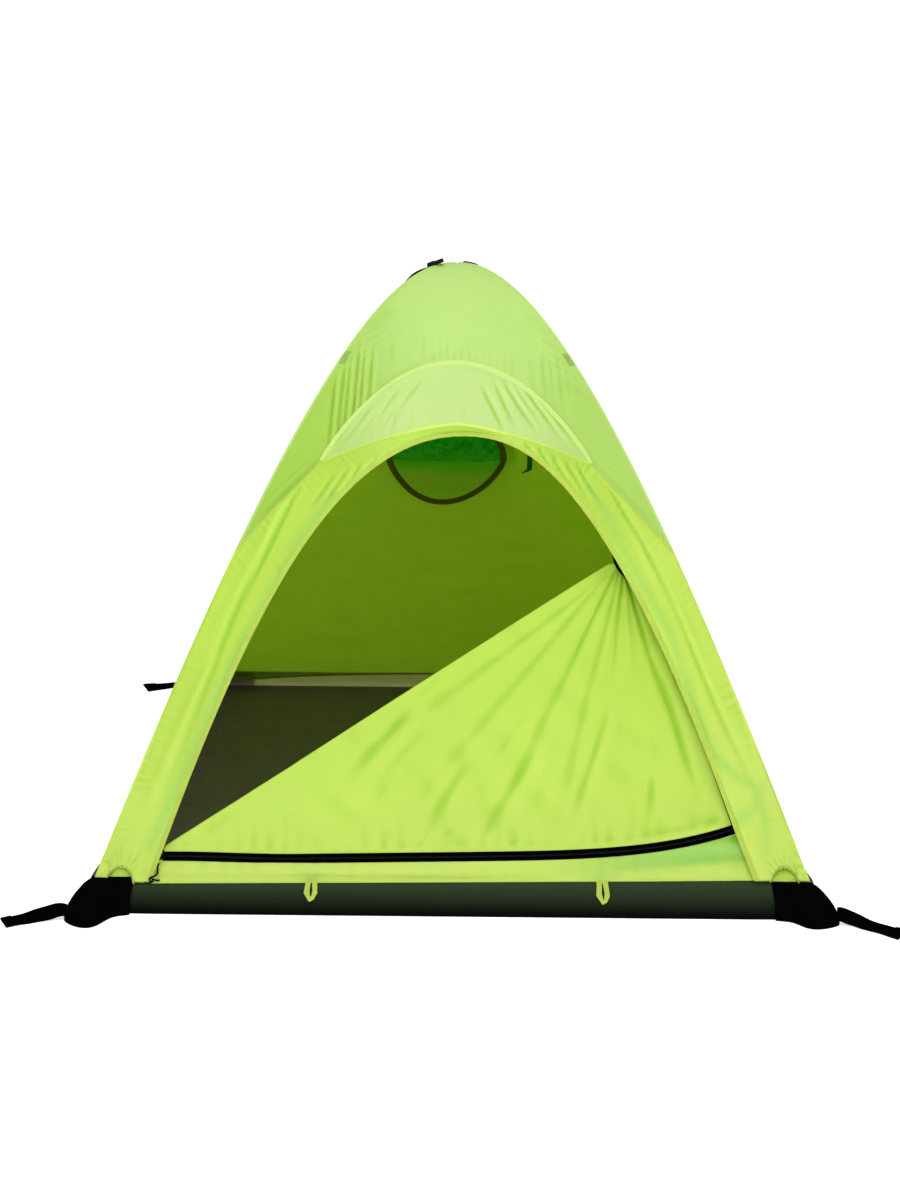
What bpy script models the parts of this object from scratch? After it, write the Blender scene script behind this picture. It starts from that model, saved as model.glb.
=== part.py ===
"""Two-person camping tent on two crossed poles, with its door end towards -Y.

Metres, +Z up. The origin is on the ground under the middle of the floor. Cloth is drawn thicker
than the real fabric, so that every panel is a closed solid.
"""
import math

import bmesh
import bpy
from mathutils import Matrix, Vector

# Driving sizes of the tent body.
HALF_WIDTH = 0.615
HALF_LENGTH = 1.04
HEIGHT = 1.07
TUB_HEIGHT = 0.05
BASE_HALF_WIDTH = 0.605
BASE_HALF_LENGTH = 1.035

# The poles' arch: steep legs under a rounded top. A share of 1 would be the corner of the half sizes.
ARCH_STEEP = 1.38
ARCH_ROUND = 0.49
ARCH_BOW = 0.26
POLE_RADIUS = 0.0045
POLE_FOOT_HEIGHT = 0.0112
POLE_DROP_SPREAD = 0.25

# Cloth, webbing and the spaces between pieces that are sewn together.
CLOTH = 0.0025
GAP = 0.0003
SEWN_EDGE = 0.0005
WEBBING = 0.002
END_SAG = 0.035
SIDE_SAG = 0.07
APEX_SHARE = 0.006

# The door end: where the outer skin is sewn to the canopy, and the visor.
SEAM_FOOT_HEIGHT = 0.547
VISOR_HALF_WIDTH = 0.243
VISOR_FOOT_HEIGHT = 0.694
VISOR_RISE = 0.177
VISOR_POWER = 0.9
BRIM_RISE = 0.072
BRIM_POWER = 1.5
BRIM_REACH = 0.11
SKIN_FOOT_HEIGHT = 0.06
SKIN_STAND_OFF_FOOT = 0.012
SKIN_STAND_OFF_TOP = 0.083

# The two arches of the door end: the skin's opening and the zip behind it. On both,
# (x / half width) ** ACROSS_POWER + (z / height) ** UP_POWER = 1, and they face a like arch at the
# panel's edge.
OPENING_HALF_WIDTH = 0.502
OPENING_HEIGHT = 0.744
HEM_WIDTH = 0.013
ZIP_HALF_WIDTH = 0.503
ZIP_HEIGHT = 0.778
ZIP_TAPE = 0.013
ACROSS_POWER = 2.2
UP_POWER = 0.98
FACING_HALF_WIDTH = 0.60
FACING_HEIGHT = 0.80

# The lower zip is level up to a place right of the middle, then rises to its right end.
LOWER_ZIP_HEIGHT = 0.074
LOWER_ZIP_TAPE = 0.015
LOWER_ZIP_RISE = 0.037
LOWER_ZIP_LEVEL_TO = 0.15
LOWER_ZIP_RISE_RUN = 0.32
LOWER_ZIP_START = 0.031

# The door's diagonal fold, the loose part behind it, and the sliders.
FOLD_TOP_HEIGHT = 0.519
FLAP_SHARE = 0.75
FLAP_LEAN = 0.010
SLIDER_HALF_WIDTH = 0.004
SLIDER_HALF_HEIGHT = 0.011
SLIDER_THICKNESS = 0.0045
UPPER_SLIDER_SHIFT = (-0.006, -0.016)
LOWER_SLIDER_SHIFT = (-0.006, 0.0)

# The round vent in the rear wall, the hood outside it and the tie beside it.
VENT_HEIGHT = 0.635
VENT_RADIUS = 0.142
VENT_RING = 0.011
VENT_HOOD_REACH = 0.10
VENT_HOOD_MARGIN = 0.03
VENT_HOOD_RISE = 0.175
VENT_HOOD_BRIM_LOW = -0.012
VENT_HOOD_BRIM_RISE = 0.05
VENT_HOOD_SEWN_LOW = 0.005
VENT_HOOD_POWER = 0.6
VENT_HOOD_END = 0.97
VENT_CLOTH_TIP = 0.002
TIE_PLACES = (0.184, 0.197)
TIE_ROWS = (0.030, 0.010, -0.010)
TIE_GAP = 0.0008

# Patches on the outside, as ranges across a panel and of the poles' shares.
TOP_BUCKLE_LEFT = ((-0.97, -0.82), (0.075, 0.165), 0.008)
TOP_BUCKLE_RIGHT = ((-0.92, -0.60), (0.035, 0.075), 0.005)
GUY_PATCH_ACROSS = (0.87, 0.985)
GUY_PATCH_SHARES = (0.335, 0.372)

# Ribbon loops on the front of the tub, and the slit through each.
LOOP_PLACES = {"left": -0.229, "right": 0.242}
LOOP_HALF_WIDTH = 0.010
LOOP_SLIT = 0.0035

SIDES = {
    "front": (HALF_WIDTH, HALF_LENGTH, Vector((0, -1, 0)), END_SAG),
    "rear": (HALF_WIDTH, HALF_LENGTH, Vector((0, 1, 0)), END_SAG),
    "left": (HALF_LENGTH, HALF_WIDTH, Vector((-1, 0, 0)), SIDE_SAG),
    "right": (HALF_LENGTH, HALF_WIDTH, Vector((1, 0, 0)), SIDE_SAG),
}


def clear_scene():
    for old in list(bpy.data.objects):
        bpy.data.objects.remove(old, do_unlink=True)


def material(name, colour, roughness, metallic=0.0):
    made = bpy.data.materials.new(name)
    made.use_nodes = True
    shader = made.node_tree.nodes["Principled BSDF"]
    shader.inputs["Base Color"].default_value = (*colour, 1.0)
    shader.inputs["Roughness"].default_value = roughness
    shader.inputs["Metallic"].default_value = metallic
    return made


def arch_height(share):
    """Height of the pole line where it has run `share` of the way from the middle to the corner."""
    leg = math.sqrt(share * share + ARCH_ROUND * ARCH_ROUND) - ARCH_ROUND
    return HEIGHT - ARCH_STEEP * leg - ARCH_BOW * share * share


def spread(start, end, steps):
    return [start + (end - start) * i / steps for i in range(steps + 1)]


def share_at(height):
    """The share of the way at which the pole line has this height."""
    low, high = 0.0, 1.2
    for _ in range(50):
        middle = (low + high) / 2
        if arch_height(middle) > height:
            low = middle
        else:
            high = middle
    return (low + high) / 2


FOOT_SHARE = share_at(0.0)
TUB_SHARE = share_at(TUB_HEIGHT)

# Panels start a little above the tub, because their inner faces dip below their outer edges.
PANEL_FOOT = TUB_HEIGHT + 0.0018
TOP_STEPS = 11
LEG_STEPS = 8
TOP_SHARES = spread(APEX_SHARE, share_at(SEAM_FOOT_HEIGHT), TOP_STEPS)
LEG_SHARES = [share_at(height) for height in spread(SEAM_FOOT_HEIGHT, PANEL_FOOT, LEG_STEPS)]


def panel_point(side, across, share):
    """Point on a panel's outer face; `across` runs from -1 to 1 between its two pole lines."""
    run, out, outward, sag = SIDES[side]
    along = Vector((abs(outward.y), abs(outward.x), 0))
    hollow = sag * (1 - across * across) * math.sin(math.pi * min(share / FOOT_SHARE, 1.0))
    point = along * (across * run * share) + outward * (out * share - hollow)
    point.z = arch_height(share)
    return point


def panel_normal(side, across, share):
    """Unit vector into the tent, from the surface's two directions."""
    step = 0.002
    share = max(share, step)
    ahead = panel_point(side, across, share + step) - panel_point(side, across, share - step)
    aside = panel_point(side, across + step, share) - panel_point(side, across - step, share)
    normal = ahead.cross(aside).normalized()
    outside = SIDES[side][2] + Vector((0, 0, 1))
    return -normal if normal.dot(outside) > 0 else normal


def inward(side, across, share):
    """Offset that keeps one thickness from the panel, mitred with its neighbour at the pole lines."""
    normal = panel_normal(side, across, share)
    if abs(across) < 0.999:
        return normal
    if side in ("front", "rear"):
        neighbour = "right" if across > 0 else "left"
        other_across = -1 if side == "front" else 1
    else:
        neighbour = "rear" if across > 0 else "front"
        other_across = -1 if side == "left" else 1
    other = panel_normal(neighbour, other_across, share)
    return (normal + other) / (1 + normal.dot(other))


def panel_depth(side, across, share, depth):
    """Point `depth` inside the panel's outer face. The edge on a pole line keeps the sewing gap."""
    run = SIDES[side][0]
    limit = 1 - SEWN_EDGE / (run * max(share, APEX_SHARE))
    held = max(-limit, min(limit, across))
    return panel_point(side, held, share) + inward(side, across, share) * depth


def end_share(x, height):
    """The panel coordinates of a point of an end wall, from its place across and its height."""
    share = share_at(height)
    return x / (HALF_WIDTH * share), share


def end_wall(side, x, height, depth):
    across, share = end_share(x, height)
    return panel_depth(side, max(-1.0, min(1.0, across)), share, depth)


def add_object(name, mesh, finish, smooth=True):
    made = bpy.data.objects.new(name, mesh)
    bpy.context.collection.objects.link(made)
    mesh.materials.append(finish)
    if smooth:
        mesh.shade_smooth()
        mesh.set_sharp_from_angle(angle=math.radians(35))
    return made


def grid_solid(name, outer, inner, finish, closed=False):
    """Closed solid between two grids of points, rows first. A closed grid joins its last row to its first."""
    rows = len(outer)
    columns = len(outer[0])
    built = bmesh.new()
    faces = [[[built.verts.new(point) for point in row] for row in grid] for grid in (outer, inner)]
    last = rows if closed else rows - 1
    for i in range(last):
        j = (i + 1) % rows
        for grid in faces:
            for k in range(columns - 1):
                built.faces.new((grid[i][k], grid[i][k + 1], grid[j][k + 1], grid[j][k]))
        for k in (0, columns - 1):
            built.faces.new((faces[0][i][k], faces[0][j][k], faces[1][j][k], faces[1][i][k]))
    if not closed:
        for i in (0, rows - 1):
            for k in range(columns - 1):
                built.faces.new((faces[0][i][k], faces[0][i][k + 1], faces[1][i][k + 1], faces[1][i][k]))
    bmesh.ops.recalc_face_normals(built, faces=built.faces)
    mesh = bpy.data.meshes.new(name)
    built.to_mesh(mesh)
    built.free()
    return add_object(name, mesh, finish)


def prism(name, outline, low, high, finish):
    """Upright solid over a plan outline."""
    built = bmesh.new()
    floor = built.faces.new([built.verts.new((x, y, low)) for x, y in outline])
    raised = bmesh.ops.extrude_face_region(built, geom=[floor])
    tops = [item for item in raised["geom"] if isinstance(item, bmesh.types.BMVert)]
    bmesh.ops.translate(built, verts=tops, vec=(0, 0, high - low))
    bmesh.ops.recalc_face_normals(built, faces=built.faces)
    mesh = bpy.data.meshes.new(name)
    built.to_mesh(mesh)
    built.free()
    return add_object(name, mesh, finish, smooth=False)


def mix(a, b, part):
    return tuple(p + (q - p) * part for p, q in zip(a, b))


def lerp_columns(first, second, steps):
    """Rows of points between two curves that have the same number of points."""
    return [[mix(a, b, k / steps) for k in range(steps + 1)] for a, b in zip(first, second)]


def offset_curve(points, distance):
    """A curve of (x, height) points moved sideways, to its left as it runs."""
    moved = []
    for i, (x, z) in enumerate(points):
        before = points[max(i - 1, 0)]
        after = points[min(i + 1, len(points) - 1)]
        dx, dz = after[0] - before[0], after[1] - before[1]
        size = math.hypot(dx, dz)
        moved.append((x - dz / size * distance, z + dx / size * distance))
    return moved


def arch_point(half_width, height, angle):
    """Point of a door arch. The angle runs from the top, 0, out to a quarter turn."""
    across = math.copysign(abs(math.sin(angle)) ** (2 / ACROSS_POWER), angle)
    return half_width * across, height * math.cos(angle) ** (2 / UP_POWER)


def arch_angle(x, height):
    """The arch angle that faces a point of the panel's edge."""
    across = (abs(x) / FACING_HALF_WIDTH) ** (ACROSS_POWER / 2)
    return math.atan2(math.copysign(across, x), (height / FACING_HEIGHT) ** (UP_POWER / 2))


def pole_edge(low, steps):
    """The left pole line of the door end as (x, height), from its foot to the seam."""
    heights = spread(low, SEAM_FOOT_HEIGHT, steps)
    return [(-HALF_WIDTH * share_at(height), height) for height in heights]


def seam_edge(steps):
    start = (-HALF_WIDTH * share_at(SEAM_FOOT_HEIGHT), SEAM_FOOT_HEIGHT)
    end = (-VISOR_HALF_WIDTH, VISOR_FOOT_HEIGHT)
    return [mix(start, end, i / steps) for i in range(1, steps)]


def visor_arc(x):
    return VISOR_FOOT_HEIGHT + VISOR_RISE * max(0.0, 1 - (x / VISOR_HALF_WIDTH) ** 2) ** VISOR_POWER


def brim_height(x):
    return VISOR_FOOT_HEIGHT + BRIM_RISE * (1 - (abs(x) / VISOR_HALF_WIDTH) ** BRIM_POWER)


def brim_reach(x):
    return BRIM_REACH * max(0.0, 1 - (x / VISOR_HALF_WIDTH) ** 2)


def visor_places(steps, half_width=VISOR_HALF_WIDTH):
    """Places across the visor, closer together towards its two tips."""
    return [half_width * math.sin(math.pi / 2 * part) for part in spread(-1.0, 1.0, steps)]


def mirrored(points):
    return [(-x, z) for x, z in reversed(points)]


def head_curve():
    """Seam, visor arc and seam, from one pole line to the other: the canopy's lower edge."""
    seam = seam_edge(4)
    arc = [(x, visor_arc(x)) for x in visor_places(14)]
    foot = [(-HALF_WIDTH * share_at(SEAM_FOOT_HEIGHT), SEAM_FOOT_HEIGHT)]
    return foot + seam + arc + mirrored(seam) + mirrored(foot)


def door_edge():
    """The whole upper edge of the inner front wall, and the zip arch that faces it point by point."""
    legs = pole_edge(PANEL_FOOT, LEG_STEPS)[:-1]
    outer = legs + head_curve() + mirrored(legs)
    zip_line = []
    for x, z in outer:
        angle = arch_angle(x, z)
        zip_line.append(arch_point(ZIP_HALF_WIDTH, ZIP_HEIGHT, angle))
    zip_line[0] = (zip_line[0][0], PANEL_FOOT)
    zip_line[-1] = (zip_line[-1][0], PANEL_FOOT)
    return outer, zip_line


def across_at(curve, height):
    """Distance from the middle at which the left side of an arch has this height."""
    for (x, z), (next_x, next_z) in zip(curve, curve[1:]):
        if z <= height <= next_z:
            return -(x + (next_x - x) * (height - z) / (next_z - z))
    return -curve[0][0]


def lower_zip_height(x):
    rising = max(0.0, (x - LOWER_ZIP_LEVEL_TO) / LOWER_ZIP_RISE_RUN)
    return LOWER_ZIP_HEIGHT + LOWER_ZIP_RISE * rising ** 2


def front_grid(columns, depth):
    return [[end_wall("front", x, z, depth) for x, z in column] for column in columns]


def front_sheet(name, columns, finish, depth=0.0, thickness=CLOTH):
    return grid_solid(name, front_grid(columns, depth), front_grid(columns, depth + thickness), finish)


def make_panel(name, side, finish):
    shares = TOP_SHARES + LEG_SHARES[1:]
    places = spread(-1.0, 1.0, 10)
    outer = [[panel_depth(side, across, share, 0) for across in places] for share in shares]
    inner = [[panel_depth(side, across, share, CLOTH) for across in places] for share in shares]
    return grid_solid(name, outer, inner, finish)


def make_front_canopy(finish):
    head = [end_share(x, z + 2 * GAP) for x, z in head_curve()]
    outer, inner = [], []
    for i, (across, share) in enumerate(head):
        top_across = -1 + 2 * i / (len(head) - 1)
        column = []
        for part in spread(0.0, 1.0, TOP_STEPS):
            row_share = share + (APEX_SHARE - share) * part
            column.append((across + (top_across - across) * part, row_share))
        if i in (0, len(head) - 1):
            edge = [share] + TOP_SHARES[-2::-1]
            column = [(top_across, row_share) for row_share in edge]
        outer.append([panel_depth("front", a, s, 0) for a, s in column])
        inner.append([panel_depth("front", a, s, CLOTH) for a, s in column])
    return grid_solid("front_canopy", outer, inner, finish)


def skin_point(x, z, reach, depth):
    """Point of the outer layers of the door end, `reach` in front of the inner wall."""
    return end_wall("front", x, z, depth - CLOTH - 2 * GAP) + Vector((0, -reach, 0))


def make_visor(finish):
    steps = 4
    outer, inner = [], []
    for x in visor_places(16, VISOR_HALF_WIDTH - 0.005):
        outer.append([])
        inner.append([])
        for part in spread(0.0, 1.0, steps):
            z = visor_arc(x) + (brim_height(x) - visor_arc(x)) * part
            reach = brim_reach(x) * part
            outer[-1].append(skin_point(x, z, reach, 0))
            inner[-1].append(skin_point(x, z, reach, CLOTH))
    return grid_solid("visor_top", outer, inner, finish)


def skin_edge():
    """Outer edge of the outer skin as (x, height, reach): up a pole line, the seam and the brim."""
    below = 2 * GAP
    legs = [(x, z, 0.0) for x, z in pole_edge(SKIN_FOOT_HEIGHT, 8)]
    seam = [(x, z, 0.0) for x, z in seam_edge(3)]
    brim = [(x, brim_height(x) - below, brim_reach(x)) for x in visor_places(16, VISOR_HALF_WIDTH - 0.005)]
    half = legs + seam
    return half + brim + [(-x, z, reach) for x, z, reach in reversed(half)]


def stand_off(z):
    """How far the skin's free edge stands in front of the inner wall."""
    return SKIN_STAND_OFF_FOOT + SKIN_STAND_OFF_TOP * (z / OPENING_HEIGHT) ** 2


def opening_edge(widening):
    """The free edge of the skin, point by point with skin_edge, moved out by `widening`."""
    points = []
    for x, z, _ in skin_edge():
        points.append(arch_point(OPENING_HALF_WIDTH, OPENING_HEIGHT, arch_angle(x, z)))
    points = offset_curve(points, widening)
    ends = (0, len(points) - 1)
    points = [(x, SKIN_FOOT_HEIGHT) if i in ends else (x, z) for i, (x, z) in enumerate(points)]
    return [(x, z, stand_off(z)) for x, z in points]


def skin_sheet(name, first, second, steps, thickness, finish):
    columns = lerp_columns(first, second, steps)
    outer = [[skin_point(x, z, reach, 0) for x, z, reach in column] for column in columns]
    inner = [[skin_point(x, z, reach, thickness) for x, z, reach in column] for column in columns]
    return grid_solid(name, outer, inner, finish)


def make_front_skin(cloth, hem):
    skin_sheet("front_skin", skin_edge(), opening_edge(HEM_WIDTH), 4, CLOTH, cloth)
    skin_sheet("opening_hem", opening_edge(HEM_WIDTH - 2 * GAP), opening_edge(0.0), 1, CLOTH, hem)


def split_zip(zip_line):
    """Indices of the zip arch: where the closed right part starts at the top, and where it ends."""
    right = [i for i, (x, z) in enumerate(zip_line) if x > 0 and z <= FOLD_TOP_HEIGHT]
    return right[0], right[-1]


def make_door(finishes):
    outer, zip_line = door_edge()
    half = ZIP_TAPE / 2
    cloth, black = finishes["cloth"], finishes["black"]
    margin = lerp_columns(outer, offset_curve(zip_line, half + GAP), 3)
    front_sheet("inner_front_wall", margin, cloth)

    top, foot = split_zip(zip_line)
    closed = [i for i in range(top, foot) if zip_line[i][1] > lower_zip_height(ZIP_HALF_WIDTH) + 0.01]
    last = closed[-1]
    tape = [offset_curve(zip_line, side) for side in (half, -half)]
    right_tape = lerp_columns(tape[0][top:last + 1], tape[1][top:last + 1], 1)
    front_sheet("door_zip_right", right_tape, black)
    left_low = next(i for i, (x, z) in enumerate(zip_line) if z > LOWER_ZIP_HEIGHT + 0.02)
    open_line = offset_curve(zip_line, 0.0005)[left_low:top]
    open_tape = lerp_columns(tape[0][left_low:top], open_line, 1)
    front_sheet("door_zip_open", open_tape, black)

    places = spread(LOWER_ZIP_START - ZIP_HALF_WIDTH, zip_line[last][0] + 0.002, 18)
    lower = [(x, lower_zip_height(x)) for x in places]
    zip_half = LOWER_ZIP_TAPE / 2
    band = lerp_columns(offset_curve(lower, zip_half), offset_curve(lower, -zip_half), 2)
    front_sheet("door_zip_lower", band, black)
    make_sill(lower, tape[0], cloth)
    make_door_panel(lower, tape[1], top, last, cloth)
    make_sliders(zip_line[top], lower[0], black)


def make_sill(lower, arch, finish):
    """The strip between the tub and the lower zip, as wide as the door."""
    top = offset_curve(lower, -LOWER_ZIP_TAPE / 2 - GAP)
    left, right = top[0][1], top[-1][1]
    top = [(GAP - across_at(arch, left), left)] + top + [(across_at(arch, right) - GAP, right)]
    foot = [(x, PANEL_FOOT) for x, _ in top]
    foot[0] = (GAP - across_at(arch, PANEL_FOOT), PANEL_FOOT)
    foot[-1] = (-foot[0][0], PANEL_FOOT)
    front_sheet("door_sill", lerp_columns(top, foot, 1), finish)


def make_door_panel(lower, arch, top, last, finish):
    """The zipped part of the door below its diagonal fold, and the loose part folded down behind it."""
    bottom = offset_curve(lower, LOWER_ZIP_TAPE / 2 + GAP)
    side = offset_curve(arch, -GAP)[top:last]
    edge = bottom + list(reversed(side))
    start = (edge[0][0] + 0.001, edge[0][1] + 0.004)
    end = (edge[-1][0] - 0.006, edge[-1][1] - 0.001)
    fold = [mix(start, end, i / (len(edge) - 1)) for i in range(len(edge))]
    columns = lerp_columns(fold, edge, 6)
    front_sheet("door_panel", columns, finish)

    parts = spread(0.0, 1.0, 4)
    hang = [[mix(column[0], column[-1], FLAP_SHARE * part) for part in parts] for column in columns[1:-1]]
    depths = [CLOTH + GAP * 2 + FLAP_LEAN * part for part in parts]
    outer, inner = [], []
    for column in hang:
        outer.append([end_wall("front", x, z, depth) for (x, z), depth in zip(column, depths)])
        inner.append([end_wall("front", x, z, depth + CLOTH) for (x, z), depth in zip(column, depths)])
    grid_solid("door_folded_flap", outer, inner, finish)


def make_sliders(upper, lower, finish):
    """Two zip sliders, on the outer face of their tapes."""
    half, tall = SLIDER_HALF_WIDTH, SLIDER_HALF_HEIGHT
    ends = (("upper", upper, UPPER_SLIDER_SHIFT), ("lower", lower, LOWER_SLIDER_SHIFT))
    for name, place, shift in ends:
        x, z = place[0] + shift[0], place[1] + shift[1]
        columns = [[(x + across, z + up) for up in (tall, -tall)] for across in (-half, half)]
        depth = -SLIDER_THICKNESS - GAP
        front_sheet(f"zip_slider_{name}", columns, finish, depth, SLIDER_THICKNESS)


def corner_line(height):
    """Corner of the tub's outer face at a height: from the wall's foot, out and down to the ground."""
    part = 1 - (height / TUB_HEIGHT) ** 2
    x = HALF_WIDTH * TUB_SHARE + (BASE_HALF_WIDTH - HALF_WIDTH * TUB_SHARE) * part
    y = HALF_LENGTH * TUB_SHARE + (BASE_HALF_LENGTH - HALF_LENGTH * TUB_SHARE) * part
    return x, y


def tub_point(side, part, height, depth):
    """Point of a tub wall; `part` runs from -1 to 1 along it."""
    x, y = corner_line(height)
    outward = SIDES[side][2]
    along = Vector((abs(outward.y), abs(outward.x), 0))
    run, out = (x, y) if side in ("front", "rear") else (y, x)
    held = run - GAP - (depth if abs(part) > 0.999 else 0)
    return along * (part * held) + outward * (out - depth) + Vector((0, 0, height))


TUB_LEVELS = [TUB_HEIGHT, 0.04, 0.026, 0.012, 0.0]


def make_tub(finish):
    places = spread(-1.0, 1.0, 10)
    for side in SIDES:
        outer = [[tub_point(side, part, height, 0) for part in places] for height in TUB_LEVELS]
        inner = [[tub_point(side, part, height, CLOTH) for part in places] for height in TUB_LEVELS]
        grid_solid(f"tub_wall_{side}", outer, inner, finish)
    x, y = corner_line(CLOTH)
    x -= CLOTH + 2 * GAP
    y -= CLOTH + 2 * GAP
    prism("floor_sheet", [(-x, -y), (x, -y), (x, y), (-x, y)], 0.0, CLOTH, finish)


# Plan of a corner boot, from the tub's corner: (across and outwards, along and outwards). Each point
# of the outline faces one of the seat, which follows the tub round its corner.
BOOT_REACH = 0.088
BOOT_OUTLINE = [
    (-BOOT_REACH, 0.004),
    (-0.060, 0.022),
    (-0.036, 0.076),
    (-0.012, 0.076),
    (0.010, 0.044),
    (0.012, 0.004),
    (0.007, -0.050),
    (0.004, -BOOT_REACH),
]
BOOT_SEAT = [
    (-BOOT_REACH, 0.0),
    (-0.060, 0.0),
    (-0.030, 0.0),
    (0.0, 0.0),
    (0.0, -0.006),
    (0.0, -0.030),
    (0.0, -0.058),
    (0.0, -BOOT_REACH),
]
BOOT_WALL = 0.003

# Heights of the boot, each with how much of the plan's bulge it has.
BOOT_TOP = 0.056
BOOT_LEVELS = [(BOOT_TOP, 0.16)] + list(zip(TUB_LEVELS, (0.3, 0.5, 0.8, 1.0, 1.0)))


def boot_ring(height, bulge):
    """Outer and inner points of a boot at one height, in its corner's own directions."""
    x, y = corner_line(min(height, TUB_HEIGHT))
    shrink_x = 1 - (BASE_HALF_WIDTH - x) / BOOT_REACH
    shrink_y = 1 - (BASE_HALF_LENGTH - y) / BOOT_REACH

    def place(across, out, bulge):
        across *= shrink_x if across < 0 else bulge
        out *= shrink_y if out < 0 else bulge
        return x + across, y + out

    inner, outer = [], []
    for across, out in BOOT_SEAT:
        seat_x, seat_y = place(across, out, 1.0)
        inner.append((seat_x + 2 * GAP, seat_y + 2 * GAP))
    for across, out in BOOT_OUTLINE:
        wall = BOOT_WALL * min(1.0, 1 + across / BOOT_REACH)
        outer_x, outer_y = place(across, out, bulge)
        outer.append((outer_x + wall, outer_y + BOOT_WALL))
    return outer, inner


def make_boot(name, sign_x, sign_y, finish):
    outer, inner = [], []
    for height, bulge in BOOT_LEVELS:
        ring_out, ring_in = boot_ring(height, bulge)
        outer.append([Vector((sign_x * x, sign_y * y, height)) for x, y in ring_out])
        inner.append([Vector((sign_x * x, sign_y * y, height)) for x, y in ring_in])
    grid_solid(name, outer, inner, finish)


# Ends of the four ground straps, from the tub's corner, and the way they leave the boot.
STRAPS = {
    "front_left": (-1, -1, (0.098, 0.075)),
    "front_right": (1, -1, (0.095, 0.096)),
    "rear_left": (-1, 1, (0.184, -0.098)),
    "rear_right": (1, 1, (0.110, 0.090)),
}
STRAP_WIDTH = 0.02
STRAP_ROOT = (0.0146, 0.027)
STRAP_STEPS = 8


def strap_route(end):
    """Middle line of a strap in its corner's own directions: a curve from the boot to its loose end."""
    corner = Vector((BASE_HALF_WIDTH, BASE_HALF_LENGTH))
    start = corner + Vector(STRAP_ROOT)
    bend = start + Vector((end[0] * 0.35, 0.004))
    far = corner + Vector(end)
    route = []
    for part in spread(0.0, 1.0, STRAP_STEPS):
        first = start.lerp(bend, part)
        route.append(first.lerp(bend.lerp(far, part), part))
    return route


def make_strap(name, sign_x, sign_y, end, finish):
    route = strap_route(end)
    outer, inner = [], []
    for i, point in enumerate(route):
        ahead = (route[min(i + 1, STRAP_STEPS)] - route[max(i - 1, 0)]).normalized()
        side = Vector((-ahead.y, ahead.x)) * STRAP_WIDTH / 2
        if i == 0:
            side = Vector((0, STRAP_WIDTH / 2))
        pair = [point + side, point - side]
        outer.append([Vector((sign_x * p.x, sign_y * p.y, WEBBING)) for p in pair])
        inner.append([Vector((sign_x * p.x, sign_y * p.y, 0.0)) for p in pair])
    grid_solid(name, outer, inner, finish)


def make_loop(name, x, finish):
    """Folded ribbon loop that hangs over the front of the tub, with a slit through it."""
    top, middle, low = TUB_LEVELS[0:3]
    edge, inside = -LOOP_HALF_WIDTH, -LOOP_SLIT
    rim = [(edge, top), (edge, middle), (edge, low), (0.0, low - 0.010)]
    slit = [(inside, top - 0.006), (inside, middle), (inside, low + 0.002), (0.0, low - 0.004)]
    rim += mirrored(rim[:-1])
    slit += mirrored(slit[:-1])
    outer, inner = [], []
    for pair in zip(rim, slit):
        outer.append([])
        inner.append([])
        for across, height in pair:
            place = (x + across) / (corner_line(height)[0] - GAP)
            outer[-1].append(tub_point("front", place, height, -GAP * 2 - WEBBING))
            inner[-1].append(tub_point("front", place, height, -GAP * 2))
    grid_solid(name, outer, inner, finish, closed=True)


def vent_plane():
    """Centre of the vent, its way up the wall and the wall's normal into the tent."""
    across, share = end_share(0.0, VENT_HEIGHT)
    centre = panel_point("rear", across, share)
    normal = panel_normal("rear", across, share)
    up = normal.cross(Vector((-1, 0, 0))).normalized()
    return centre, up if up.z > 0 else -up, normal


def on_rear_wall(x, up_wall, depth):
    """Point of the rear wall straight through a place on the vent's plane."""
    centre, up, normal = vent_plane()
    place = centre + Vector((x, 0, 0)) + up * up_wall
    for _ in range(6):
        across, share = end_share(place.x, place.z)
        miss = panel_point("rear", across, share) - place
        place += normal * miss.dot(normal)
    return place + normal * depth


def round_patch(name, inside, outside, low, high, finish, depth=0.0, thickness=CLOTH, steps=24):
    """Piece of the vent between two radii; a whole turn is joined up."""
    whole = high - low > 359
    angles = spread(math.radians(low), math.radians(high), steps)
    if whole:
        angles = angles[:-1]
    outer, inner = [], []
    for angle in angles:
        places = [(r * math.cos(angle), r * math.sin(angle)) for r in (outside, inside)]
        outer.append([on_rear_wall(x, up_wall, depth) for x, up_wall in places])
        inner.append([on_rear_wall(x, up_wall, depth + thickness) for x, up_wall in places])
    return grid_solid(name, outer, inner, finish, closed=whole)


def make_vent(rear, finishes):
    centre, up, normal = vent_plane()
    bpy.ops.mesh.primitive_cylinder_add(vertices=24, radius=VENT_RADIUS + VENT_RING / 2 + GAP * 2, depth=0.2)
    cutter = bpy.context.object
    cutter.name = "vent_cutter"
    cutter.location = centre
    across = Vector((1, 0, 0))
    turn = Matrix((across, up, across.cross(up))).transposed()
    cutter.rotation_euler = turn.to_euler()
    cutter.hide_render = True
    cutter.display_type = "WIRE"
    cut = rear.modifiers.new("vent_hole", "BOOLEAN")
    cut.operation = "DIFFERENCE"
    cut.solver = "EXACT"
    cut.object = cutter

    inside = VENT_RADIUS - VENT_RING / 2
    round_patch("vent_zip_ring", inside, VENT_RADIUS + VENT_RING / 2, 0, 360, finishes["black"])
    make_vent_cloth("vent_mesh", 0.0, inside - 2 * GAP, 1, finishes["mesh"])
    make_vent_cloth("vent_panel", -2 * GAP, inside - 2 * GAP, -1, finishes["cloth"])
    make_vent_hood(finishes["cloth"])


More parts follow.
